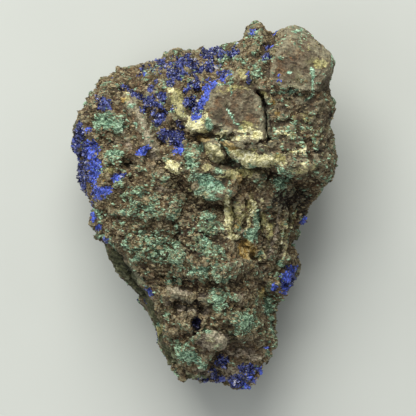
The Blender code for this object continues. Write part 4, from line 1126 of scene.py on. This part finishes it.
def draw_seats(values, count, dice):
    """Places on the stone and their normals: a triangle is as likely as its area times its mean value."""
    weight = areas * values[corners].mean(axis=1)
    weight[weight < LEAST_MASK * areas] = 0.0
    chosen = corners[dice.choice(len(corners), count, p=weight / weight.sum())]
    root, along = np.sqrt(dice.random(count)), dice.random(count)
    shares = np.stack([1.0 - root, root * (1.0 - along), root * along], axis=1)
    shares = shares[:, :, None]
    return (points[chosen] * shares).sum(axis=1), (normals[chosen] * shares).sum(axis=1)


def one_long(vectors):
    """Vectors divided by their lengths."""
    return vectors / np.linalg.norm(vectors, axis=1)[:, None]


def frames(upward, lean, dice):
    """A turned set of axes for each seat: Z near the normal, leaning at random, and X at random round it."""
    z = one_long(upward + lean * dice.normal(size=upward.shape))
    x = one_long(np.cross(dice.normal(size=z.shape), z))
    return np.stack([x, np.cross(z, x), z], axis=1)


def row_frames(upward, lean, spread, dice):
    """A set of axes for each seat: Z near the normal, and X near the direction of the crumbs' rows."""
    z = one_long(upward + lean * dice.normal(size=upward.shape))
    x = np.array([math.cos(CRUMB_ROWS), math.sin(CRUMB_ROWS), 0.0]) + spread * dice.normal(size=z.shape)
    x = one_long(x - (x * z).sum(axis=1)[:, None] * z)
    return np.stack([x, np.cross(z, x), z], axis=1)


def copies(shapes, faces, axes, seats):
    """Each seat's shape, turned to its axes, moved to its place and kept above the table, and all faces
    numbered in one mesh."""
    moved = (np.einsum("nvk,nkj->nvj", shapes, axes) + seats[:, None, :]).reshape(-1, 3)
    moved[:, 2] = np.maximum(moved[:, 2], 0.0)
    numbers = np.arange(len(seats))[:, None] * shapes.shape[1]
    all_faces = []
    for face in faces:
        all_faces += (np.array(face)[None, :] + numbers).tolist()
    return moved, all_faces


def add_copies(name, shapes, faces, axes, seats, slot, dice):
    """A shape at every seat as one piece, with a random tone for each copy."""
    made, made_faces = copies(shapes, faces, axes, seats)
    tone = np.repeat(dice.random(len(seats)), shapes.shape[1])
    add_piece(name, made, made_faces, slot, tone=tone)


print("the stone's area is", round(areas.sum() / MM**2), "mm2")

# %% [markdown]
# ## Azurite's crystals
#
# Azurite grows in short flattened prisms with slanted ends, set close together in a druse that glitters.
# Each here is a four-sided prism that narrows a little to a slanted top, with its root sunk in the stone.
# Their lengths have a long tail: many are under a millimetre and a few reach 1.5 mm.

# %% Prisms for the druse
SIDES = 4
PRISM_FACES = [tuple(range(SIDES))[::-1], tuple(range(SIDES, 2 * SIDES))] + [
    (k, (k + 1) % SIDES, SIDES + (k + 1) % SIDES, SIDES + k) for k in range(SIDES)]


def prisms(lengths, dice):
    """Four-sided prisms: a flattened square at the root, and the same one narrowed and slanted at the top."""
    count = len(lengths)
    angle = np.arange(SIDES) * math.tau / SIDES
    ring = np.stack([np.cos(angle), np.sin(angle)], axis=1)
    width = dice.uniform(0.34, 0.52, (count, 1)) * lengths[:, None]
    flat = dice.uniform(0.45, 0.85, (count, 1))
    taper = dice.uniform(0.55, 0.85, (count, 1))
    x, y = ring[:, 0] * width, ring[:, 1] * width * flat
    slant = dice.uniform(-0.55, 0.55, (count, 2))
    top = lengths[:, None] * dice.uniform(0.5, 0.8, (count, 1)) + slant[:, :1] * x + slant[:, 1:] * y
    root = np.repeat(-0.35 * lengths[:, None], SIDES, axis=1)
    low = np.stack([x, y, root], axis=2)
    high = np.stack([x * taper, y * taper, top], axis=2)
    return np.concatenate([low, high], axis=1)


DRUSE_COUNT, DRUSE_LENGTH, DRUSE_LONGEST = 16000, 0.56, 1.5 * MM
DRUSE_SPREAD, DRUSE_LEAN = 0.38, 0.45
MASK_POWER, DRUSE_IN_CRUST = 1.5, 0.05
dice = np.random.default_rng(7)
druse = masks["dark_azurite"] ** MASK_POWER + DRUSE_IN_CRUST * masks["bright_azurite"]
seats, upward = draw_seats(druse, DRUSE_COUNT, dice)
lengths = MM * DRUSE_LENGTH * np.exp(dice.normal(0.0, DRUSE_SPREAD, DRUSE_COUNT))
druse_shapes = prisms(np.minimum(lengths, DRUSE_LONGEST), dice)
druse_axes = frames(upward, DRUSE_LEAN, dice)
add_copies("azurite_druse", druse_shapes, PRISM_FACES, druse_axes, seats, "azurite", dice)

# %% [markdown]
# ## Bright velvet azurite
#
# Down the left edge, in the gully and near the foot the azurite is a powdery crust of grains too small to
# see one by one, and it looks a far brighter blue. It is made of small rough grains that lie close
# together. Each is an icosahedron, 12 corners on a ball, with every corner pushed in or out, then
# flattened and sunk in the stone.

# %% Rough grains
RING_RADIUS, RING_LEVEL = 0.894, 0.447
GRAIN = np.array([(0.0, 0.0, 1.0)] + [
    (math.cos(a) * RING_RADIUS, math.sin(a) * RING_RADIUS, level)
    for level, half_step in ((RING_LEVEL, 0.0), (-RING_LEVEL, 0.5))
    for a in (np.arange(5) + half_step) * math.tau / 5] + [(0.0, 0.0, -1.0)])
GRAIN_FACES = [face for k in range(5) for face in (
    (0, 1 + k, 1 + (k + 1) % 5), (1 + k, 6 + k, 1 + (k + 1) % 5),
    (1 + (k + 1) % 5, 6 + k, 6 + (k + 1) % 5), (11, 6 + (k + 1) % 5, 6 + k))]

CRUST_COUNT, CRUST_GRAIN = 9500, 0.5
CRUST_SPREAD, CRUST_LEAN, CRUST_SINK = 0.3, 0.5, 0.1
seats, upward = draw_seats(masks["bright_azurite"] ** MASK_POWER, CRUST_COUNT, dice)
radii = 0.5 * CRUST_GRAIN * MM * np.exp(dice.normal(0.0, CRUST_SPREAD, CRUST_COUNT))
shapes = GRAIN[None] * dice.uniform(0.72, 1.2, (CRUST_COUNT, 12, 1)) * radii[:, None, None]
grain_length = dice.uniform(0.9, 1.5, CRUST_COUNT)
grain_height = dice.uniform(0.55, 0.9, CRUST_COUNT)
shapes *= np.stack([grain_length, np.ones(CRUST_COUNT), grain_height], axis=1)[:, None, :]
seats = seats - upward * (CRUST_SINK * radii)[:, None]
add_copies("azurite_crust", shapes, GRAIN_FACES, frames(upward, CRUST_LEAN, dice), seats, "azurite", dice)

# %% [markdown]
# ## Malachite and limonite crumbs
#
# Malachite coats splinters of the gossan, so its pieces stand among brown ones. Each is a shard, an
# octahedron with every corner pushed about, longer than it is wide and laid along the rows. Both kinds
# are scattered in the same way, each where its own mask is high, and the brown ones most in the crumbly
# middle. Faces that look up hold more of them than walls do, and where clay or azurite hides the rock
# there are few.

# %% Shards of malachite and of limonite
SHARD = np.array([(1, 0, 0), (0, 1, 0), (-1, 0, 0), (0, -1, 0), (0, 0, 1), (0, 0, -1)], float)
SHARD_FACES = [face for k in range(4) for face in ((k, (k + 1) % 4, 4), ((k + 1) % 4, k, 5))]
SHARD_FORM = np.array([1.0, 0.48, 0.40])
SHARD_SPREAD, SHARD_PUSH, SHARD_LEAN = 0.35, 0.3, 0.25
MALACHITE_COUNT, MALACHITE_LENGTH = 14000, 0.7
LIMONITE_COUNT, LIMONITE_LENGTH = 21000, 0.8


def add_shards(name, values, count, length, slot, dice):
    """Splinters as one piece: their corners pushed about, under half as wide and high as long, half sunk."""
    seats, upward = draw_seats(values, count, dice)
    half = 0.5 * length * MM * np.exp(dice.normal(0.0, SHARD_SPREAD, count))
    shapes = SHARD + dice.uniform(-SHARD_PUSH, SHARD_PUSH, (count, 6, 3))
    shapes = shapes * SHARD_FORM * half[:, None, None]
    axes = row_frames(upward, SHARD_LEAN, SHARD_LEAN, dice)
    add_copies(name, shapes, SHARD_FACES, axes, seats, slot, dice)


TOP_START, TOP_GAIN = 0.35, 1.3
GREEN_SHARE, MALACHITE_HIDES_BROWN = 0.5, 0.9
HIDING = {
    "bright_azurite": 0.8, "wad_and_painted_shade": 0.7, "dark_azurite": 1.0, "cream": 1.0,
    "ochre": 1.0, "straw": 1.0, "olive": 1.0, "pale_gossan_and_painted_light": 1.0,
}
uncovered = 1.0 - np.maximum.reduce([share * masks[name] for name, share in HIDING.items()])
facing_up = ease(TOP_START + TOP_GAIN * normals[:, 2])
grain_green = GREEN_SHARE * masks["malachite"] * (1.0 - CALM_BARE * calm)
grain_green += GREEN_SHARE * masks["green_crumbs"]
grain_green = np.clip(grain_green, 0.0, 1.0) * uncovered
malachite_there = np.maximum(grain_green, MALACHITE_HIDES_BROWN * masks["malachite"])
brown = (1.0 - calm) * (1.0 - malachite_there) * uncovered
add_shards("malachite_grains", grain_green * facing_up, MALACHITE_COUNT, MALACHITE_LENGTH, "malachite", dice)
add_shards("limonite_crumbs", brown * facing_up, LIMONITE_COUNT, LIMONITE_LENGTH, "gossan", dice)

# %% [markdown]
# ## The little vug's crystals
#
# Inside the pocket is one crust of small azurite crystals. Its cup follows the pocket's wall a third of a
# millimetre inside it: half an egg with a thickness, closed at its lip. Crystals stand on the cup and
# point in.

# %% The cup and its crystals
CUP_WALL, CUP_MOUTH = 0.7 * MM, 0.05
CUP_STEPS, CUP_RINGS = 40, 14
VUG_CRYSTALS, VUG_CRYSTAL, VUG_LEAN = 260, 0.62 * MM, 0.3


def egg_ways(turn, drop):
    """Unit directions from the egg's middle: turn goes round it, and drop runs from its foot to its mouth."""
    return np.stack([np.cos(turn) * np.sin(drop), np.sin(turn) * np.sin(drop), -np.cos(drop)], axis=-1)


def on_egg(ways, size):
    """Points of the tilted egg: directions stretched by its half axes, turned about X, moved to the vug."""
    c, s = math.cos(VUG_TILT), math.sin(VUG_TILT)
    return vug_middle + (ways * size) @ np.array([(1.0, 0.0, 0.0), (0.0, c, -s), (0.0, s, c)]).T


def cup():
    """The cup's points and faces: an outer shell from its foot to its mouth, and an inner one back down."""
    drops = np.linspace(0.0, math.pi * (0.5 - CUP_MOUTH), CUP_RINGS + 1)[1:]
    turn = np.arange(CUP_STEPS) * math.tau / CUP_STEPS
    around, along = np.meshgrid(turn, drops)
    rings = []
    for size, order in ((crust_size, 1), (crust_size - CUP_WALL, -1)):
        rings.append(on_egg(egg_ways(around, along), size)[::order])
    rings = np.concatenate(rings)
    foot = on_egg(egg_ways(np.zeros(2), np.zeros(2)), crust_size)
    foot[1, 2] += CUP_WALL
    number = np.arange(2 * CUP_RINGS * CUP_STEPS).reshape(2 * CUP_RINGS, CUP_STEPS)
    ahead = np.roll(number, -1, axis=1)
    faces = np.stack([number[:-1], ahead[:-1], ahead[1:], number[1:]], axis=-1).reshape(-1, 4).tolist()
    last = number.size
    faces += np.stack([np.roll(number[0], -1), number[0], np.full(CUP_STEPS, last)], axis=1).tolist()
    faces += np.stack([number[-1], np.roll(number[-1], -1), np.full(CUP_STEPS, last + 1)], axis=1).tolist()
    return np.vstack([rings.reshape(-1, 3), foot]), faces


cup_points, cup_faces = cup()
turn, drop = dice.uniform(0.0, math.tau, VUG_CRYSTALS), np.arccos(dice.uniform(0.3, 1.0, VUG_CRYSTALS))
ways = egg_ways(turn, drop)
roots = on_egg(ways, crust_size - CUP_WALL)
lengths = VUG_CRYSTAL * dice.uniform(0.7, 1.4, VUG_CRYSTALS)
grown, grown_faces = copies(prisms(lengths, dice), PRISM_FACES, frames(-ways, VUG_LEAN, dice), roots)
vug_faces = cup_faces + [[number + len(cup_points) for number in face] for face in grown_faces]
# Painted shade: the cup takes the darkest tone and most crystals a low one, so the pocket's inside is near
# black.
tone = np.concatenate([np.zeros(len(cup_points)), np.repeat(dice.random(VUG_CRYSTALS) ** 2, 2 * SIDES)])
add_piece("vug_crystals", np.vstack([cup_points, grown]), vug_faces, "azurite", ["vug_azurite_crust"],
          tone=tone)

# %% [markdown]
# ## Colours and nodes
#
# Screen colours are written as hex values and turned to the linear values that light is worked out with.
# One helper adds a node with its settings and links, so a material reads from top to bottom.

# %% Helpers for every material
def linear(code):
    """A colour such as #3b3026 as linear red, green, blue and 1: a dark part is divided by 12.92, and a
    lighter one has 0.055 added, is divided by 1.055 and raised to the power 2.4."""
    parts = [int(code[k:k + 2], 16) / 255.0 for k in (1, 3, 5)]
    return [*(p / 12.92 if p <= 0.04045 else ((p + 0.055) / 1.055) ** 2.4 for p in parts), 1.0]


def add(tree, kind, inputs, **settings):
    """Adds a node. An input takes a value, or the first shown output of another node, or a chosen output."""
    node = tree.nodes.new(kind)
    for name, value in settings.items():
        setattr(node, name, value)
    for key, value in inputs.items():
        if isinstance(value, bpy.types.Node):
            value = next(output for output in value.outputs if output.enabled)
        if isinstance(value, bpy.types.NodeSocket):
            tree.links.new(value, node.inputs[key])
        else:
            node.inputs[key].default_value = value
    return node


def ramp(tree, factor, colours, low=0.0, high=1.0):
    """A ramp from the first colour at low to the last at high, evenly spaced."""
    node = add(tree, "ShaderNodeValToRGB", {"Fac": factor})
    stops = node.color_ramp.elements
    for k, code in enumerate(colours):
        place = low + (high - low) * k / (len(colours) - 1)
        stop = stops[k] if k < 2 else stops.new(place)
        stop.position, stop.color = place, linear(code)
    return node


def mix(tree, factor, under, over, blend="MIX"):
    """One colour laid over another by a factor. Mix holds its colours at inputs 6 and 7."""
    return add(tree, "ShaderNodeMix", {0: factor, 6: under, 7: over}, data_type="RGBA", blend_type=blend)


def per_mm(size):
    """A texture's scale for features of so many millimetres, with Object coordinates in metres."""
    return 1.0 / (size * MM)


def new_material(name):
    """A material with its node tree, its Principled shader and its Object coordinates."""
    material = bpy.data.materials.new(name)
    material.use_nodes = True
    tree = material.node_tree
    shader = tree.nodes["Principled BSDF"]
    return material, tree, shader, add(tree, "ShaderNodeTexCoord", {}).outputs["Object"]


print("middle grey in linear light:", round(linear("#808080")[0], 3))

# %% [markdown]
# ## Gossan with its mineral stains
#
# The matrix is limonite gossan, a weathered crust of iron oxides: dull, porous and brown. Its gaps are
# painted near black further on: mostly shade, with a little dirt and oxide. Limonite's IOR is about 2, but
# its powdery skin scatters light, so it shows a weak, wide gloss. The noises come first, each with its
# size in mm. Most are even, the fibre is drawn out along the crumbs' rows, and the streaks run across the
# block and steeply down the right flank.

# %% The stone's noises
STREAK_TURN, FLANK_TURN = math.radians(-16), math.radians(-100)
gossan, tree, shader, place = new_material("limonite_gossan")
WAYS = {
    "in_row": (CRUMB_ROWS, (2.2, 0.83, 1.1)),
    "streaked": (STREAK_TURN, (3.3, 0.75, 1.0)),
    "steep": (FLANK_TURN, (1.9, 0.85, 1.2)),
}
turned = {
    name: add(tree, "ShaderNodeMapping", {"Vector": place, "Rotation": (0.0, 0.0, turn), "Scale": stretch},
              vector_type="TEXTURE")
    for name, (turn, stretch) in WAYS.items()}
on_flank = add(tree, "ShaderNodeAttribute", {}, attribute_name="flank")
ways = add(tree, "ShaderNodeMix", {0: on_flank.outputs["Fac"], 4: turned["streaked"], 5: turned["steep"]},
           data_type="VECTOR")
NOISES = {
    "grit": (place, 0.9, 5.0, 0.75),
    "cloud": (place, 7.0, 4.0, 0.6),
    "speck": (place, 0.45, 3.0, 0.7),
    "hue": (place, 4.5, 4.0, 0.65),
    "fibre": (turned["in_row"], 0.75, 4.0, 0.7),
    "streak": (ways, 0.9, 5.0, 0.75),
}
noise = {name: add(tree, "ShaderNodeTexNoise", {"Vector": way, "Scale": per_mm(size), "Detail": detail,
                                                "Roughness": rough})
         for name, (way, size, detail, rough) in NOISES.items()}
grit, fibre = noise["grit"], noise["fibre"]
print("noises in the stone's material:", ", ".join(noise))

# %% [markdown]
# ## Brown gossan under the layers
#
# Two noises added up give the brown rock its lights and darks. Cells of three tints, umber, rust and
# olive, go over it. A wide noise chooses where smooth rock is stained brown or has a mossy tint.

# %% The brown rock and its stains
TINT_SHARE, STAIN_SHARE = 0.3, 0.5
DARK_END, LIGHT_END = 0.36, 0.66
blend = add(tree, "ShaderNodeMath", {0: grit, 1: noise["cloud"]}, operation="ADD")
colour = ramp(tree, add(tree, "ShaderNodeMath", {0: blend, 1: 0.5}, operation="MULTIPLY"),
              ["#19130e", "#3f3528", "#645743", "#83765f", "#a89c84"], 0.32, 0.68)
grains = add(tree, "ShaderNodeTexVoronoi", {"Vector": place, "Scale": per_mm(0.75), "Randomness": 1.0})
tint = add(tree, "ShaderNodeSeparateColor", {0: grains.outputs["Color"]})
colour = mix(tree, TINT_SHARE, colour, ramp(tree, tint, ["#2c2216", "#87592e", "#7c8458"]))
stain, moss = [
    add(tree, "ShaderNodeMapRange", {"Value": noise["hue"], "From Min": low, "From Max": high,
                                     "To Max": STAIN_SHARE}, interpolation_type="SMOOTHSTEP")
    for low, high in ((0.5, 0.66), (0.48, 0.34))]
print("the brown rock takes", len(tree.nodes), "nodes")

# %% [markdown]
# ## Layers of mineral
#
# Each layer is named after its mask and has a strength and its colours from dark to light. Its mask is
# added to the fibre noise and the sum is cut at a threshold, so a layer's edge breaks up into fibres and
# grains.

# %% Lay the minerals over the rock
LAYERS = [
    ("calm", 0.8, ["#352d22", "#594f3f", "#6f6552", "#8a806a"]),
    ("olive", 0.85, ["#2b3020", "#4c5236", "#70744f"]),
    ("pale_gossan_and_painted_light", 0.85, ["#50453a", "#877a67", "#ab9d88", "#c4b8a4"]),
    ("wad_and_painted_shade", 0.85, ["#0c0907", "#1c1610", "#33291d"]),
    ("rust", 0.85, ["#6b3518", "#a85a2a", "#c98245"]),
    ("green_crumbs", 0.75, ["#2d3d27", "#55704c", "#85a075"]),
    ("malachite", 0.92, ["#34523f", "#67957a", "#9ccaac", "#d8f2de"]),
    ("straw", 0.85, ["#666038", "#a49d62", "#d6ce92"]),
    ("ochre", 0.9, ["#57421f", "#9f803e", "#cbae68"]),
    ("cream", 0.97, ["#a69c62", "#dbd394", "#f3eebd", "#fdfce6"]),
    ("dark_azurite", 0.85, ["#0f1020", "#26284a", "#444a78"]),
    ("bright_azurite", 0.92, ["#1c2250", "#33439a", "#5068d4"]),
]
STREAKED = ("calm", "olive")
FIBRE_GAIN, EDGE_LOW, EDGE_HIGH = 2.1, 1.35, 1.75
for label, strength, colours in LAYERS:
    seen = add(tree, "ShaderNodeAttribute", {}, attribute_name=label)
    rough = add(tree, "ShaderNodeMath", {0: fibre, 1: FIBRE_GAIN, 2: seen.outputs["Fac"]},
                operation="MULTIPLY_ADD")
    edge = add(tree, "ShaderNodeMapRange", {"Value": rough, "From Min": EDGE_LOW, "From Max": EDGE_HIGH,
                                            "To Max": strength}, interpolation_type="SMOOTHSTEP")
    within = noise["streak"] if label in STREAKED else grit
    colour = mix(tree, edge, colour, ramp(tree, within, colours, DARK_END, LIGHT_END))
    if label == "calm":
        for share, stained in ((stain, ["#3a2817", "#7a5634", "#a57e50"]),
                               (moss, ["#33321d", "#66653f", "#93926a"])):
            colour = mix(tree, share, colour, ramp(tree, grit, stained, DARK_END, LIGHT_END))

print("layers:", ", ".join(label for label, _, _ in LAYERS))

# %% [markdown]
# ## Worn edges with painted highlights, dirt with painted shade, and fine relief
#
# High points get a paler colour from the crevice mask: some wear, and mostly a painted highlight. Crevices
# get a near-black colour from the same mask: some dirt, and mostly painted shade. A last noise makes every
# place a little lighter or darker, and the same noises raise the finest relief as a bump.

# %% Wear with painted highlight, dirt with painted shade, gloss and bump
gap = add(tree, "ShaderNodeAttribute", {}, attribute_name="crevice")
# Painted highlight: convex points are mixed towards pale cream, with a little real wear.
wear_and_painted_highlight = add(tree, "ShaderNodeMapRange", {"Value": gap.outputs["Fac"], "From Min": -0.3, "From Max": -0.9,
                                        "To Max": 0.24})
colour = mix(tree, wear_and_painted_highlight, colour, linear("#c6c4a2"))
# Painted shade: points deep in crevices are mixed towards near black, with a little real dirt.
dirt_and_painted_shade = add(tree, "ShaderNodeMapRange", {"Value": gap.outputs["Fac"], "From Min": 0.12, "From Max": 0.95,
                                        "To Max": 0.62})
colour = mix(tree, dirt_and_painted_shade, colour, linear("#120d0a"))
fine = add(tree, "ShaderNodeMath", {0: fibre, 1: noise["speck"]}, operation="ADD")
shade = add(tree, "ShaderNodeMapRange", {"Value": fine, "From Min": 0.8, "From Max": 1.25, "To Min": 0.58,
                                         "To Max": 1.38})
colour = mix(tree, 1.0, colour, shade, "MULTIPLY")
shine = add(tree, "ShaderNodeMapRange", {"Value": grit, "From Min": 0.3, "From Max": 0.7, "To Min": 0.68,
                                         "To Max": 0.92})
rough_rows = add(tree, "ShaderNodeMath", {0: fibre, 1: 1.4, 2: noise["speck"]}, operation="MULTIPLY_ADD")
height = add(tree, "ShaderNodeMath", {0: noise["streak"], 1: 1.2, 2: rough_rows}, operation="MULTIPLY_ADD")
bump = add(tree, "ShaderNodeBump", {"Strength": 0.9, "Distance": 0.4 * MM, "Height": height})
for name, value in (("Base Color", colour.outputs[2]), ("Roughness", shine.outputs[0]),
                    ("Normal", bump.outputs[0])):
    tree.links.new(value, shader.inputs[name])
shader.inputs["IOR"].default_value = 1.5
shader.inputs["Specular IOR Level"].default_value = 0.35
stone.data.materials.append(gossan)
print("the stone's material has", len(tree.nodes), "nodes")

# %% [markdown]
# ## Azurite, malachite and limonite in grains
#
# Azurite is a deep blue copper carbonate with glassy faces and an IOR of about 1.76, so a druse glitters
# white where a face meets the light. Ground fine it scatters and looks bright. Malachite grains are
# fibrous and silky, and limonite crumbs are dull. Each piece of a druse has its own tone, kept on its
# points.

# %% Materials for crystals and grains
def grain_material(name, colours, rough, ior, bump_size):
    """A mineral in grains: its colour from each grain's tone and fine noise, its gloss and a fine bump."""
    material, tree, shader, place = new_material(name)
    tone = add(tree, "ShaderNodeAttribute", {}, attribute_name="tone")
    noise = add(tree, "ShaderNodeTexNoise", {"Vector": place, "Scale": per_mm(bump_size), "Detail": 3.0})
    shade = add(tree, "ShaderNodeMath", {0: tone.outputs["Fac"], 1: 0.7, 2: noise}, operation="MULTIPLY_ADD")
    colour = ramp(tree, shade, colours, 0.35, 1.2)
    bump = add(tree, "ShaderNodeBump", {"Strength": 0.35, "Distance": 0.12 * MM, "Height": noise})
    tree.links.new(colour.outputs[0], shader.inputs["Base Color"])
    tree.links.new(bump.outputs[0], shader.inputs["Normal"])
    shader.inputs["Roughness"].default_value = rough
    shader.inputs["IOR"].default_value = ior
    return material


FINISHES = {
    "azurite_druse": ("azurite_crystals", ["#0b0d1e", "#191c40", "#292e66", "#505a9c"], 0.24, 1.76, 0.6),
    # The vug's azurite is near black: painted shade for the inside of the pocket.
    "vug_crystals": ("vug_azurite_painted_shade", ["#07070c", "#0d0d1a", "#1c1c36", "#3c3c74"], 0.35, 1.6, 0.6),
    "azurite_crust": ("azurite_powdery", ["#181f46", "#2b3a80", "#3b50b4", "#5870e0"], 0.6, 1.6, 0.4),
    "malachite_grains": ("malachite_silky", ["#29372a", "#455c46", "#668466", "#a2c2a1"], 0.75, 1.6, 0.4),
    "limonite_crumbs": ("limonite_dull", ["#1a130c", "#3c2f22", "#554c36", "#705a37", "#9a8d6c"],
                        0.85, 1.5, 0.5),
}
for piece, finish in FINISHES.items():
    bpy.data.objects[piece].data.materials.append(grain_material(*finish))
print("finishes:", ", ".join(sorted(name for name, *_ in FINISHES.values())))

# %% [markdown]
# ## Floor, light and camera
#
# The stone rests on a pale table and the camera looks straight down on it. A long lens from a metre and a
# half away keeps the outline as the photograph shows it. The light is soft: a large lamp stands beyond
# the head, a little to the left, a weak fill comes from the left, and a pale surround lights the rest.

# %% The floor, the lights and the camera
FRAME_WIDTH, CAMERA_HEIGHT, SENSOR = 116.5 * MM, 1.5, 36.0
VIEW_CENTRE = on_stone((208.0, 208.0))
FLOOR_HALF = 3.0

floor_mesh = bpy.data.meshes.new("pale_floor")
floor_corners = [(FLOOR_HALF * x, FLOOR_HALF * y, 0.0) for x, y in ((-1, -1), (1, -1), (1, 1), (-1, 1))]
floor_mesh.from_pydata(floor_corners, [], [(0, 1, 2, 3)])
floor_piece = bpy.data.objects.new("pale_floor", floor_mesh)
bpy.context.scene.collection.objects.link(floor_piece)
paper, tree, shader, place = new_material("matt_paper")
fleck = add(tree, "ShaderNodeTexNoise", {"Vector": place, "Scale": per_mm(40.0), "Detail": 2.0})
tree.links.new(ramp(tree, fleck, ["#b7bab4", "#bec1bb"]).outputs[0], shader.inputs["Base Color"])
shader.inputs["Roughness"].default_value = 0.9
floor_mesh.materials.append(paper)


def add_lamp(name, place, size, power, colour):
    """A square area lamp at a place, aimed at the stone's middle."""
    light = bpy.data.lights.new(name, "AREA")
    light.size, light.energy, light.color = size, power, linear(colour)[:3]
    lamp = bpy.data.objects.new(name, light)
    bpy.context.scene.collection.objects.link(lamp)
    lamp.location = place
    lamp.rotation_euler = (-lamp.location).to_track_quat("-Z", "Y").to_euler()


add_lamp("window", place=(-0.25, 0.95, 0.95), size=1.1, power=27.0, colour="#fffefa")
add_lamp("fill", place=(-0.6, -0.1, 1.1), size=0.9, power=3.0, colour="#fafcff")
world = bpy.data.worlds.new("pale_surround")
bpy.context.scene.world = world
world.use_nodes = True
world.node_tree.nodes["Background"].inputs["Color"].default_value = linear("#eef0f2")
world.node_tree.nodes["Background"].inputs["Strength"].default_value = 0.5

lens = bpy.data.cameras.new("camera")
lens.sensor_width = SENSOR
lens.lens = SENSOR * CAMERA_HEIGHT / FRAME_WIDTH
lens.clip_end = 10.0
camera = bpy.data.objects.new("camera", lens)
camera.location = (*VIEW_CENTRE, REST_DEPTH + CAMERA_HEIGHT)
bpy.context.scene.collection.objects.link(camera)
bpy.context.scene.camera = camera
bpy.context.scene.view_settings.view_transform = "Standard"
print("the lens is", round(lens.lens), "mm long")
